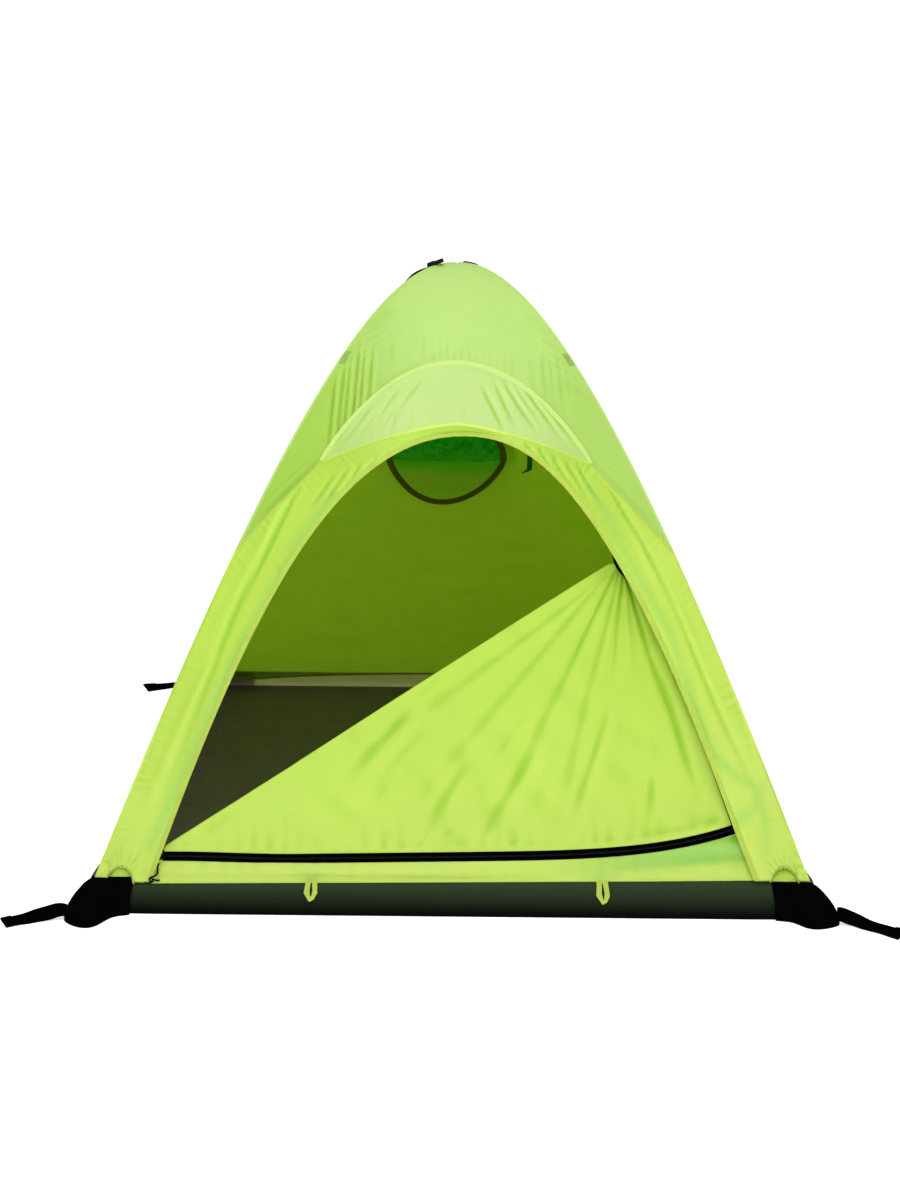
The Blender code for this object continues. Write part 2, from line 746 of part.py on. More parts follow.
def make_vent_cloth(name, chord, radius, way, finish):
    """Half of the vent's round cloth, above or below its straight middle seam."""
    start = math.asin(abs(chord) / radius)
    angles = spread(start, math.pi - start, 12)
    outer, inner = [], []
    for angle in angles:
        x = radius * math.cos(angle)
        edge = way * radius * math.sin(angle)
        rows = [chord + (edge - chord) * k / 3 for k in range(4)]
        if abs(edge - chord) < VENT_CLOTH_TIP:
            rows = [chord + way * VENT_CLOTH_TIP * k / 3 for k in range(4)]
            x *= 0.995
        outer.append([on_rear_wall(x, row, 0.0) for row in rows])
        inner.append([on_rear_wall(x, row, CLOTH) for row in rows])
    grid_solid(name, outer, inner, finish)


def make_vent_hood(finish):
    """Small rain hood over the vent, outside the rear wall: open below, sewn on above."""
    half_width = VENT_RADIUS + VENT_HOOD_MARGIN
    outer, inner = [], []
    for part in spread(-1.0, 1.0, 14):
        x = half_width * math.sin(math.pi / 2 * part * VENT_HOOD_END)
        rise = max(0.0, 1 - (x / half_width) ** 2) ** VENT_HOOD_POWER
        sewn = VENT_HOOD_SEWN_LOW + VENT_HOOD_RISE * rise
        brim = VENT_HOOD_BRIM_LOW + VENT_HOOD_BRIM_RISE * (1 - part * part)
        column = [(sewn + (brim - sewn) * k / 4, k / 4) for k in range(5)]
        reach = VENT_HOOD_REACH * (1 - part * part)
        outer.append([])
        inner.append([])
        for up_wall, out in column:
            shift = Vector((0, reach * out, 0))
            outer[-1].append(on_rear_wall(x, up_wall, -CLOTH - 2 * GAP) + shift)
            inner[-1].append(on_rear_wall(x, up_wall, -2 * GAP) + shift)
    grid_solid("vent_hood", outer, inner, finish)


def make_vent_tie(finish):
    """Short hanging tie beside the vent, on the inner face of the rear wall."""
    seat = CLOTH + TIE_GAP
    outer = [[on_rear_wall(x, row, seat) for row in TIE_ROWS] for x in TIE_PLACES]
    inner = [[on_rear_wall(x, row, seat + WEBBING) for row in TIE_ROWS] for x in TIE_PLACES]
    grid_solid("vent_tie_tab", outer, inner, finish)


def make_tube(name, route, radius, finish):
    """Round tube or cord with filled ends. A fourth number of a point is its share of the radius."""
    curve = bpy.data.curves.new(name, "CURVE")
    curve.dimensions = "3D"
    spline = curve.splines.new("POLY")
    spline.points.add(len(route) - 1)
    for knot, (x, y, z, *share) in zip(spline.points, route):
        knot.co = (x, y, z, 1.0)
        knot.radius = share[0] if share else 1.0
    curve.bevel_depth = radius
    curve.bevel_resolution = 2
    curve.use_fill_caps = True
    curve.materials.append(finish)
    made = bpy.data.objects.new(name, curve)
    bpy.context.collection.objects.link(made)


def make_pole(name, sign, drop, finish):
    """One pole from corner to opposite corner, just inside the panels. It dips by `drop` at the top."""
    inset = CLOTH + 2 * GAP + POLE_RADIUS
    shares = [0.0] + TOP_SHARES[1:] + LEG_SHARES[1:] + [share_at(POLE_FOOT_HEIGHT)]
    legs = [("front", sign, share) for share in reversed(shares)]
    legs += [("rear", -sign, share) for share in shares[1:]]
    route = []
    for end, across, share in legs:
        point = panel_point(end, across, share) + inward(end, across, share) * inset
        point.z -= drop * math.exp(-(share / POLE_DROP_SPREAD) ** 2)
        route.append(point)
    make_tube(name, route, POLE_RADIUS, finish)


def surface_patch(name, side, across, share, thickness, finish):
    """Thin piece sewn on the outside of a panel, between two places across and two shares."""
    places = spread(*across, 3)
    shares = spread(*share, 3)
    outer = [[panel_depth(side, a, s, -thickness - 2 * GAP) for a in places] for s in shares]
    inner = [[panel_depth(side, a, s, -2 * GAP) for a in places] for s in shares]
    grid_solid(name, outer, inner, finish)


def make_fittings(finishes):
    black, grey = finishes["black"], finishes["grey"]
    surface_patch("top_buckle_left", "left", *TOP_BUCKLE_LEFT, black)
    surface_patch("top_buckle_right", "right", *TOP_BUCKLE_RIGHT, black)
    for end in ("front", "rear"):
        for hand, sign in (("left", -1), ("right", 1)):
            across = sorted(sign * edge for edge in GUY_PATCH_ACROSS)
            surface_patch(f"guy_patch_{end}_{hand}", end, across, GUY_PATCH_SHARES, WEBBING, grey)


# The pull cord of the lower zip slider: from the slider round the skin's edge, then down its front.
CORD_DIAMETER = 0.0025
CORD_ROUTE = [
    (-0.4790, -0.9751, 0.0658),
    (-0.4795, -0.9800, 0.0645),
    (-0.4792, -0.9855, 0.0610),
    (-0.4785, -0.9905, 0.0575),
    (-0.4785, -0.9955, 0.0548),
    (-0.4820, -0.9990, 0.0525),
    (-0.4875, -0.9998, 0.0505),
    (-0.4910, -0.9992, 0.0475),
]

# The knot at its end, each point with its radius as a share of the cord's.
KNOT_ROUTE = [
    (-0.4902, -0.9994, 0.0452, 0.8),
    (-0.4882, -0.9996, 0.0446, 2.0),
    (-0.4850, -0.9998, 0.0445, 2.5),
    (-0.4820, -0.9996, 0.0447, 1.8),
    (-0.4800, -0.9994, 0.0452, 1.0),
    (-0.4740, -0.9992, 0.0455, 0.9),
]


def main():
    clear_scene()
    finishes = {
        "cloth": material("lime_cloth", (0.55, 0.83, 0.10), 0.6),
        "hem": material("hem_tape", (0.70, 0.88, 0.10), 0.6),
        "tub": material("dark_green_cloth", (0.05, 0.09, 0.05), 0.5),
        "black": material("black_trim", (0.01, 0.01, 0.01), 0.5),
        "mesh": material("vent_net", (0.05, 0.45, 0.10), 0.7),
        "grey": material("grey_patch", (0.30, 0.38, 0.25), 0.6),
        "pole": material("pole_tube", (0.55, 0.56, 0.58), 0.35, 1.0),
    }
    make_pole("pole_upper", -1, 0.0, finishes["pole"])
    make_pole("pole_lower", 1, 2 * POLE_RADIUS + 0.0006, finishes["pole"])
    make_panel("left_wall", "left", finishes["cloth"])
    make_panel("right_wall", "right", finishes["cloth"])
    rear = make_panel("rear_wall", "rear", finishes["cloth"])
    make_vent(rear, finishes)
    make_vent_tie(finishes["tub"])
    make_front_canopy(finishes["cloth"])
    make_visor(finishes["cloth"])
    make_front_skin(finishes["cloth"], finishes["hem"])
    make_door(finishes)
    make_tube("zip_pull_cord", CORD_ROUTE, CORD_DIAMETER / 2, finishes["black"])
    make_tube("zip_pull_knot", KNOT_ROUTE, CORD_DIAMETER / 2, finishes["black"])
    make_tub(finishes["tub"])
    for name, (sign_x, sign_y, end) in STRAPS.items():
        make_boot(f"corner_boot_{name}", sign_x, sign_y, finishes["black"])
        make_strap(f"ground_strap_{name}", sign_x, sign_y, end, finishes["black"])
    for hand, x in LOOP_PLACES.items():
        make_loop(f"ribbon_loop_{hand}", x, finishes["hem"])
    make_fittings(finishes)


main()
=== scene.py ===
"""Looks of the two-person camping tent: cloth panels, zips, webbing, poles, materials, light and camera.

Metres, +Z up, door end towards -Y. The surface formulas are those of the tent's construction.
"""
import math

import bmesh
import bpy
import numpy as np
from mathutils import Matrix, Vector


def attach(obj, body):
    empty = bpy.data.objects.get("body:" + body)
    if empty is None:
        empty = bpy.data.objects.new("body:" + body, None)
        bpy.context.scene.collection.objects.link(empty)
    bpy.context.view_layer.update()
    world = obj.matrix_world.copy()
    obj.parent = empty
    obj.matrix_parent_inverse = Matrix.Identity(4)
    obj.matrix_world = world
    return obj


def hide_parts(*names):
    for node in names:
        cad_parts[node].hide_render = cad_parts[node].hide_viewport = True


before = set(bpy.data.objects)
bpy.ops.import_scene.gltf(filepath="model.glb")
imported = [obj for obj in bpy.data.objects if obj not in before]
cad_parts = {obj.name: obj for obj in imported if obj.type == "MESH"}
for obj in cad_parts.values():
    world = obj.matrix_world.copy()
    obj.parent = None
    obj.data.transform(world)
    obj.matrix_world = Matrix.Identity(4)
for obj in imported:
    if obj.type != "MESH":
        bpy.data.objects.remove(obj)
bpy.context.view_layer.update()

# Driving sizes of the tent body and its pole arch.
HALF_WIDTH, HALF_LENGTH, HEIGHT = 0.615, 1.04, 1.07
TUB_HEIGHT, BASE_HALF_WIDTH, BASE_HALF_LENGTH = 0.05, 0.605, 1.035
ARCH_STEEP, ARCH_ROUND, ARCH_BOW = 1.38, 0.49, 0.26
POLE_RADIUS, POLE_INSET, POLE_FOOT_HEIGHT, POLE_DROP_SPREAD = 0.0045, 0.0031, 0.0112, 0.25
END_SAG, SIDE_SAG, APEX_SHARE = 0.035, 0.07, 0.0008

# Cloth as it is sewn: the thickness drawn, the clearance to a layer behind, and a fold's radius.
THIN, LAYER, ROLL = 0.0009, 0.0025, 0.0028

# The door end.
SEAM_FOOT_HEIGHT = 0.547
VISOR_HALF_WIDTH, VISOR_FOOT_HEIGHT, VISOR_RISE, VISOR_POWER = 0.243, 0.694, 0.177, 0.9
BRIM_RISE, BRIM_POWER, BRIM_REACH = 0.072, 1.5, 0.11
SKIN_FOOT_HEIGHT = 0.044
STAND_OFF_FOOT, STAND_OFF_TOP = 0.012, 0.083
OPENING_HALF_WIDTH, OPENING_HEIGHT, HEM_WIDTH, OPENING_LEAN = 0.502, 0.744, 0.0075, 0.015
ZIP_HALF_WIDTH, ZIP_HEIGHT, ZIP_TAPE = 0.5065, 0.778, 0.013
ACROSS_POWER, UP_POWER = 2.2, 0.98
FACING_HALF_WIDTH, FACING_HEIGHT = 0.60, 0.80
LOWER_ZIP_HEIGHT, LOWER_ZIP_TAPE, LOWER_ZIP_SLOPE = 0.0781, 0.0135, 0.0175
LOWER_ZIP_RISE, LOWER_ZIP_POWER = 0.036, 4.1
LOWER_ZIP_LEVEL_TO, LOWER_ZIP_RISE_RUN, LOWER_ZIP_START, LOWER_ZIP_LEFT_RISE = -0.05, 0.51, 0.033, 0.006
ZIP_PULL, ZIP_PULL_HEIGHT, ZIP_PULL_REACH = 0.0130, 0.5275, 0.025
PANEL_FOOT, SILL_FOOT, SILL_SLOPE = 0.042, 0.0455, 0.009
FOLD_TOP_HEIGHT, FLAP_SHARE, FLAP_LEAN = 0.528, 0.75, 0.010

# The vent in the rear wall.
VENT_HEIGHT, VENT_RADIUS, VENT_RING, VENT_SHIFT = 0.632, 0.1345, 0.016, -0.018
VENT_TAPER, VENT_LEAN = 1.385, 0.070
HOOD_REACH, HOOD_MARGIN, HOOD_RISE, HOOD_BRIM_LOW, HOOD_BRIM_RISE = 0.10, 0.03, 0.175, -0.012, 0.05

OUTWARD = {"front": (0, -1), "rear": (0, 1), "left": (-1, 0), "right": (1, 0)}
POLES = ["pole_upper_tube", "pole_lower_tube"]
INSIDE = np.array((0.0, 0.0, 0.25))
ACROSS_X = np.array((1.0, 0.0, 0.0))
QUARTER, HALF_TURN, TURN = math.pi / 2, math.pi, 2 * math.pi


# Numbers along lines and grids.

def row(first, last, count):
    return np.linspace(first, last, count)[None, :]


def column(first, last, count):
    return np.linspace(first, last, count)[:, None]


def smooth(value, low, high):
    part = np.clip((value - low) / (high - low), 0.0, 1.0)
    return part * part * (3 - 2 * part)


def lerp(a, b, part):
    return a + (b - a) * part


def bell(value, middle, spread):
    return np.exp(-(((value - middle) / spread) ** 2))


def path_length(*axes):
    """Metres along a line from its start, at each of its points."""
    return np.concatenate([[0.0], np.cumsum(np.linalg.norm(np.diff(np.stack(axes)), axis=0))])


def even_steps(count, *axes):
    """A line's points at an even pitch."""
    path = path_length(*axes)
    return [np.interp(np.linspace(0.0, path[-1], count), path, axis) for axis in axes]


def unit(vector):
    return vector / np.linalg.norm(vector)


# Surface formulas.

def arch_height(share):
    leg = np.hypot(share, ARCH_ROUND) - ARCH_ROUND
    return HEIGHT - ARCH_STEEP * leg - ARCH_BOW * share * share


SHARES = np.linspace(0.0, 1.2, 8001)


def share_at(height):
    return np.interp(-np.asarray(height, dtype=float), -arch_height(SHARES), SHARES)


FOOT_SHARE, TUB_SHARE = float(share_at(0.0)), float(share_at(TUB_HEIGHT))


def wall(side, across, share):
    """Points of a tent panel; `across` is -1 and 1 on its two pole lines."""
    across, share = np.asarray(across, dtype=float), np.asarray(share, dtype=float)
    outward_x, outward_y = OUTWARD[side]
    ends = outward_y != 0
    run, out, sag = (HALF_WIDTH, HALF_LENGTH, END_SAG) if ends else (HALF_LENGTH, HALF_WIDTH, SIDE_SAG)
    hollow = sag * (1 - across**2) * np.sin(np.pi * np.minimum(share / FOOT_SHARE, 1.0))
    along, off = across * run * share, out * share - hollow
    x, y = (along, outward_y * off) if ends else (outward_x * off, along)
    return np.stack(np.broadcast_arrays(x, y, arch_height(share)), -1)


def end_wall(side, x, z, reach=0.0):
    """Points of an end wall over places across and heights, `reach` outside it."""
    share = share_at(z)
    points = wall(side, np.clip(x / (HALF_WIDTH * np.maximum(share, 1e-4)), -1.0, 1.0), share)
    points[..., 1] += OUTWARD[side][1] * reach
    return points


def offset_line(x, z, distance):
    """A line of the front moved sideways, to its left as it runs."""
    dx, dz = np.gradient(x), np.gradient(z)
    size = np.hypot(dx, dz)
    return x - dz / size * distance, z + dx / size * distance


def arch_line(half_width, height, angle):
    across = np.sign(angle) * np.abs(np.sin(angle)) ** (2 / ACROSS_POWER)
    return half_width * across, height * np.clip(np.cos(angle), 0.0, 1.0) ** (2 / UP_POWER)


def arch_angle(x, z):
    across = (np.abs(x) / FACING_HALF_WIDTH) ** (ACROSS_POWER / 2)
    return np.arctan2(np.sign(x) * across, (z / FACING_HEIGHT) ** (UP_POWER / 2))


def visor_arc(x):
    rise = np.clip(1 - (x / VISOR_HALF_WIDTH) ** 2, 0.0, 1.0)
    return VISOR_FOOT_HEIGHT + VISOR_RISE * rise**VISOR_POWER


def brim_height(x):
    return VISOR_FOOT_HEIGHT + BRIM_RISE * (1 - (np.abs(x) / VISOR_HALF_WIDTH) ** BRIM_POWER)


def brim_reach(x):
    return BRIM_REACH * np.clip(1 - (x / VISOR_HALF_WIDTH) ** 2, 0.0, 1.0)


def stand_off(z):
    return STAND_OFF_FOOT + STAND_OFF_TOP * (z / OPENING_HEIGHT) ** 2


def lower_zip_height(x):
    rising = np.clip((x - LOWER_ZIP_LEVEL_TO) / LOWER_ZIP_RISE_RUN, 0.0, None)
    left = LOWER_ZIP_LEFT_RISE * smooth(-x, 0.25, 0.48)
    return LOWER_ZIP_HEIGHT + LOWER_ZIP_SLOPE * x + LOWER_ZIP_RISE * rising**LOWER_ZIP_POWER + left


def zip_pull(z):
    """How far the fold's weight draws the zip inward."""
    return ZIP_PULL * bell(z, ZIP_PULL_HEIGHT, ZIP_PULL_REACH)


def zip_reach(z):
    """Distance of the zip arch from the middle at a height."""
    arch = ZIP_HALF_WIDTH * np.clip(1 - (z / ZIP_HEIGHT) ** UP_POWER, 0.0, 1.0) ** (1 / ACROSS_POWER)
    return arch - zip_pull(z)


def zip_meeting():
    """The lower right corner of the door, where the rising lower zip meets the arch."""
    z = np.linspace(0.08, 0.2, 1201)
    found = int(np.argmax(z > lower_zip_height(zip_reach(z))))
    return float(zip_reach(z[found])), float(z[found])


ZIP_START_X = LOWER_ZIP_START - ZIP_HALF_WIDTH
ZIP_END_X, ZIP_END_HEIGHT = zip_meeting()


def corner_line(height):
    part = 1 - (height / TUB_HEIGHT) ** 2
    x = lerp(HALF_WIDTH * TUB_SHARE, BASE_HALF_WIDTH, part)
    return x, lerp(HALF_LENGTH * TUB_SHARE, BASE_HALF_LENGTH, part)


def tub_clearance(x, z, clear):
    """Reach of a front layer that hangs over the tub's top edge, `clear` metres off it."""
    out = corner_line(np.clip(z, 0.0, TUB_HEIGHT))[1] + end_wall("front", x, z)[..., 1]
    return (np.maximum(out, 0.0) + clear) * (1 - smooth(z, TUB_HEIGHT, TUB_HEIGHT + 0.02))


def tub_wall(side, part, height, reach=0.0):
    x, y = corner_line(height)
    outward_x, outward_y = OUTWARD[side]
    run, out = (x, y) if outward_y else (y, x)
    along, off = part * (run - 0.0004), out + reach
    across = (along, outward_y * off) if outward_y else (outward_x * off, along)
    return np.stack(np.broadcast_arrays(*across, height), -1)


def front_band(x, z, first, last, reach, columns=7):
    """Points of a band on the door end's inner wall, between two offsets from a line."""
    edges = zip(offset_line(x, z, first), offset_line(x, z, last))
    band_x, band_z = (lerp(a[:, None], b[:, None], row(0.0, 1.0, columns)) for a, b in edges)
    return end_wall("front", band_x, band_z, reach)


# Folds and puckers: heights over a panel's own plane, in metres.

def crease(x, z, start, end, width, height, narrow=1.0, fade=1.0, begin=0.30):
    """A fold from start to end that widens, fades and ends softly.

    Height is its rise, and begin is how softly it starts.
    """
    run = np.subtract(end, start)
    length = math.hypot(*run)
    part = ((x - start[0]) * run[0] + (z - start[1]) * run[1]) / length**2
    off = ((x - start[0]) * run[1] - (z - start[1]) * run[0]) / length
    off = off + 0.10 * width * np.sin(part * 7.0 + start[0] * 90)
    inside = np.clip(part, 0.0, 1.0)
    ends = smooth(part, -0.02, max(begin, 0.001)) * (1 - smooth(part, 0.50, 1.10))
    return height * bell(off, 0.0, width * lerp(narrow, 1.0, inside)) * ends * (1 - fade * inside)


def creases(x, z, folds, **shape):
    """Several folds, each given as its start, end, width and height."""
    return sum(crease(x, z, *fold, **shape) for fold in folds)


def shifted(fold, by, width, height):
    """A fold's neighbour beside it."""
    return np.add(fold[0], by), np.add(fold[1], by), width, height


def trace(x, z, places, width):
    """A soft line through places: 1 on it, 0 away from it."""
    found = np.zeros(np.broadcast(x, z).shape)
    for start, end in zip(places, places[1:]):
        run = np.subtract(end, start)
        part = np.clip(((x - start[0]) * run[0] + (z - start[1]) * run[1]) / (run @ run), 0.0, 1.0)
        away = np.hypot(x - start[0] - run[0] * part, z - start[1] - run[1] * part)
        found = np.maximum(found, bell(away, 0.0, width))
    return found


def waves(x, z, seed, height, lengths, turn=(0.0, HALF_TURN), number=8):
    """Irregular swells of the cloth, of lengths and directions drawn from two ranges."""
    draw = np.random.default_rng(seed)
    total = np.zeros(np.broadcast(x, z).shape)
    for _ in range(number):
        angle, length, phase = draw.uniform(*turn), draw.uniform(*lengths), draw.uniform(0, TURN)
        total += np.sin(TURN * (x * math.cos(angle) + z * math.sin(angle)) / length + phase)
    return height * total / math.sqrt(number / 2)


def puckers(along, away, seed, pitch, height, reach):
    """Short gathers square to a seam, which fade away from it."""
    draw = np.random.default_rng(seed)
    warp = sum(
        draw.uniform(0.3, 1.1) * np.sin(along / pitch * k + draw.uniform(0, 6)) for k in (0.7, 1.3, 2.1)
    )
    strength = 0.6 + 0.4 * np.sin(along / pitch * 0.9 + draw.uniform(0, 6))
    return height * np.exp(-away / reach) * np.sin(TURN * along / pitch + warp) * strength


def wrinkles(x, z, seed, number, starts, aim, lengths, height):
    """Fine faint folds that run away from a point, from places drawn between two corners."""
    draw = np.random.default_rng(seed)
    total = np.zeros(np.broadcast(x, z).shape)
    for _ in range(number):
        start = np.array([draw.uniform(*starts[0]), draw.uniform(*starts[1])])
        way = start - aim
        angle = math.atan2(way[1], way[0]) + draw.normal(0.0, 0.13)
        end = start + draw.uniform(*lengths) * np.array([math.cos(angle), math.sin(angle)])
        rise = height * draw.uniform(-1.0, 0.8)
        total += crease(x, z, start, end, draw.uniform(0.0035, 0.0065), rise, narrow=0.7, fade=0.3)
    return total


def fold_shade(height, deep, passes=30):
    """Painted shade in the folds of a panel and painted highlight on their crests: 1 in the folds and -1 on
    the crests, from a point's depth below its surroundings.
    """
    soft = height
    for _ in range(passes):
        wide = np.pad(soft, 1, mode="edge")
        beside = wide[:-2, 1:-1] + wide[2:, 1:-1] + wide[1:-1, :-2] + wide[1:-1, 2:]
        soft = (beside + 4 * soft) / 8
    return np.clip((soft - height) / deep, -1.0, 1.0)


# Mesh making.

def grid_normals(points, closed=False):
    along = np.gradient(points, axis=0)
    if closed:
        along = (np.roll(points, -1, 0) - np.roll(points, 1, 0)) / 2
    normal = np.cross(along, np.gradient(points, axis=1))
    return normal / np.maximum(np.linalg.norm(normal, axis=-1, keepdims=True), 1e-12)


def faces_outward(points, closed=False):
    return ((points - INSIDE) * grid_normals(points, closed)).sum() > 0


def outward_normals(points):
    return grid_normals(points) * (1 if faces_outward(points) else -1)


def cloth_uv(points):
    """Thread directions of a panel: metres along its rows from the middle, and down its middle column."""
    step = np.linalg.norm(np.diff(points, axis=1), axis=-1)
    u = np.concatenate([np.zeros((len(points), 1)), np.cumsum(step, axis=1)], axis=1)
    middle = points.shape[1] // 2
    v = path_length(*points[:, middle].T)
    return np.stack([u - u[:, middle : middle + 1], np.broadcast_to(v[:, None], u.shape)], -1)


def quads(ids):
    """Faces between the rows and columns of a grid of point numbers."""
    return np.stack([ids[:-1, :-1], ids[1:, :-1], ids[1:, 1:], ids[:-1, 1:]], -1).reshape(-1, 4)


def link(name, data):
    made = bpy.data.objects.new(name, data)
    bpy.context.scene.collection.objects.link(made)
    return made


def add_piece(name, data, material):
    """An object of the tent with its material. The whole tent is one body."""
    made = link(name, data)
    data.materials.clear()
    data.materials.append(material)
    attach(made, "root")
    return made


def keep(piece, slot, *nodes):
    """Hides the nodes that a piece stands for, and gives the piece back. The slot is not used."""
    if nodes:
        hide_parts(*nodes)
    return piece


def new_mesh(name, points, faces, edges=()):
    mesh = bpy.data.meshes.new(name)
    mesh.from_pydata(np.asarray(points).tolist(), edges, faces)
    return mesh


def face_out(mesh, smooth_to=None):
    """Turns a mesh's faces outwards, and shades it smooth up to an angle."""
    built = bmesh.new()
    built.from_mesh(mesh)
    bmesh.ops.recalc_face_normals(built, faces=built.faces)
    built.to_mesh(mesh)
    built.free()
    if smooth_to:
        mesh.shade_smooth()
        mesh.set_sharp_from_angle(angle=math.radians(smooth_to))


def shell(name, outer, inner, material, uv=None, masks=None, closed=False):
    """Closed thin solid between two grids of points. A closed grid joins its last row to its first."""
    rows, columns = outer.shape[:2]
    count = rows * columns
    ids = np.arange(count).reshape(rows, columns)
    loops = [np.concatenate([ids[:, 0], ids[-1, 1:], ids[-2::-1, -1], ids[0, -2::-1]])]
    if closed:
        ids = np.vstack([ids, ids[:1]])
        loops = [ids[:, 0], ids[::-1, -1]]
    faces = quads(ids)
    rims = [np.stack([loop[1:], loop[:-1], loop[:-1] + count, loop[1:] + count], -1) for loop in loops]
    faces = np.vstack([faces, faces[:, ::-1] + count, *rims])
    mesh = new_mesh(name, np.concatenate([outer.reshape(-1, 3), inner.reshape(-1, 3)]), faces.tolist())
    flat = (cloth_uv(outer) if uv is None else uv).reshape(-1, 2)[faces.reshape(-1) % count]
    mesh.uv_layers.new(name="cloth").data.foreach_set("uv", flat.astype(np.float32).ravel())
    shades = {"inner": np.repeat((0.0, 1.0), count)}
    for key, mask in (masks or {}).items():
        shades[key] = np.tile(np.broadcast_to(mask, (rows, columns)).reshape(-1), 2)
    for key, values in shades.items():
        mesh.attributes.new(key, "FLOAT", "POINT").data.foreach_set("value", values.astype(np.float32))
    mesh.shade_smooth()
    mesh.set_sharp_from_angle(angle=math.radians(55))
    return add_piece(name, mesh, material)


def cloth(name, points, material, push=0.0, thickness=THIN, uv=None, masks=None, closed=False, flip=None):
    """A panel of cloth: its points, moved out by `push` metres and given a thickness inwards."""
    flip = not faces_outward(points, closed) if flip is None else flip
    normal = grid_normals(points, closed)
    push = np.broadcast_to(push, points.shape[:2])
    uv = cloth_uv(points) if uv is None else uv
    masks = {key: np.broadcast_to(mask, points.shape[:2]) for key, mask in (masks or {}).items()}
    if flip:
        points, normal, push, uv = points[:, ::-1], -normal[:, ::-1], push[:, ::-1], uv[:, ::-1]
        masks = {key: mask[:, ::-1] for key, mask in masks.items()}
    outer = points + normal * push[..., None]
    return shell(name, outer, outer - grid_normals(outer, closed) * thickness, material, uv, masks, closed)


def panel(name, points, material, *nodes, held="stretched", slot="lime_cloth", rests_on=(), **looks):
    """A sheet of cloth that stands for the given nodes.

    On a forked cut those two overstate it, so both are shortened together until it fills 0.31 of them.
    """
    made = cloth(name, points, material, **looks)
    return keep(made, slot, *nodes)


def line_mesh(name, points, faces_out):
    """A bare line with the outward direction at each point, for the pieces that follow it."""
    mesh = new_mesh(name, points, [], [(i, i + 1) for i in range(len(points) - 1)])
    facing = mesh.attributes.new("facing", "FLOAT_VECTOR", "POINT")
    facing.data.foreach_set("vector", np.asarray(faces_out, dtype=np.float32).ravel())
    return link(name, mesh)


# Node trees.

class Tree:
    """Adds nodes to a tree and joins them."""

    def __init__(self, tree):
        self.tree = tree

    def add(self, kind, inputs=None, **settings):
        made = self.tree.nodes.new(kind)
        for key, value in settings.items():
            setattr(made, key, value)
        for key, value in (inputs or {}).items():
            socket = made.inputs[key]
            if isinstance(value, bpy.types.NodeSocket):
                self.tree.links.new(value, socket)
            else:
                socket.default_value = value
        return made

    def math(self, operation, first, second=0.0):
        return self.add("ShaderNodeMath", {0: first, 1: second}, operation=operation).outputs[0]

    def fit(self, value, to_low, to_high, low=0.0, high=1.0, way="LINEAR"):
        """A value moved from one range to another."""
        inputs = {"Value": value, "From Min": low, "From Max": high, "To Min": to_low, "To Max": to_high}
        return self.add("ShaderNodeMapRange", inputs, interpolation_type=way).outputs["Result"]

    def noise(self, place, scale, detail, **more):
        inputs = {"Vector": place, "Scale": scale, "Detail": detail, **more}
        return self.add("ShaderNodeTexNoise", inputs).outputs["Fac"]

    def blend(self, part, first, second, way="MIX"):
        inputs = {0: part, 6: first, 7: second}
        return self.add("ShaderNodeMix", inputs, data_type="RGBA", blend_type=way).outputs[2]


def new_group(kind, name, inputs, outputs):
    """An empty node group with named inputs and outputs, and what its input node gives."""
    tree = Tree(bpy.data.node_groups.new(name, kind))
    for key, socket, *value in inputs:
        made = tree.tree.interface.new_socket(name=key, in_out="INPUT", socket_type=f"NodeSocket{socket}")
        if value:
            made.default_value = value[0]
    for key, socket in outputs:
        tree.tree.interface.new_socket(name=key, in_out="OUTPUT", socket_type=f"NodeSocket{socket}")
    return tree, tree.add("NodeGroupInput").outputs


# Repeats along a line, made by geometry nodes.

def geometry_group(name, inputs):
    """A group that reads a line as a curve, and gives a mesh."""
    inputs = [("Geometry", "Geometry"), *inputs, ("Finish", "Material")]
    tree, given = new_group("GeometryNodeTree", name, inputs, [("Geometry", "Geometry")])
    tree.tree.is_modifier = True
    return tree, given, tree.add("GeometryNodeMeshToCurve", {"Mesh": given["Geometry"]}).outputs["Curve"]


def finish_group(tree, given, made):
    real = tree.add("GeometryNodeRealizeInstances", {"Geometry": made}).outputs["Geometry"]
    rounded = tree.add("GeometryNodeSetShadeSmooth", {"Geometry": real}).outputs["Geometry"]
    finished = tree.add("GeometryNodeSetMaterial", {"Geometry": rounded, "Material": given["Finish"]})
    tree.add("NodeGroupOutput", {"Geometry": finished.outputs["Geometry"]})
    return tree.tree


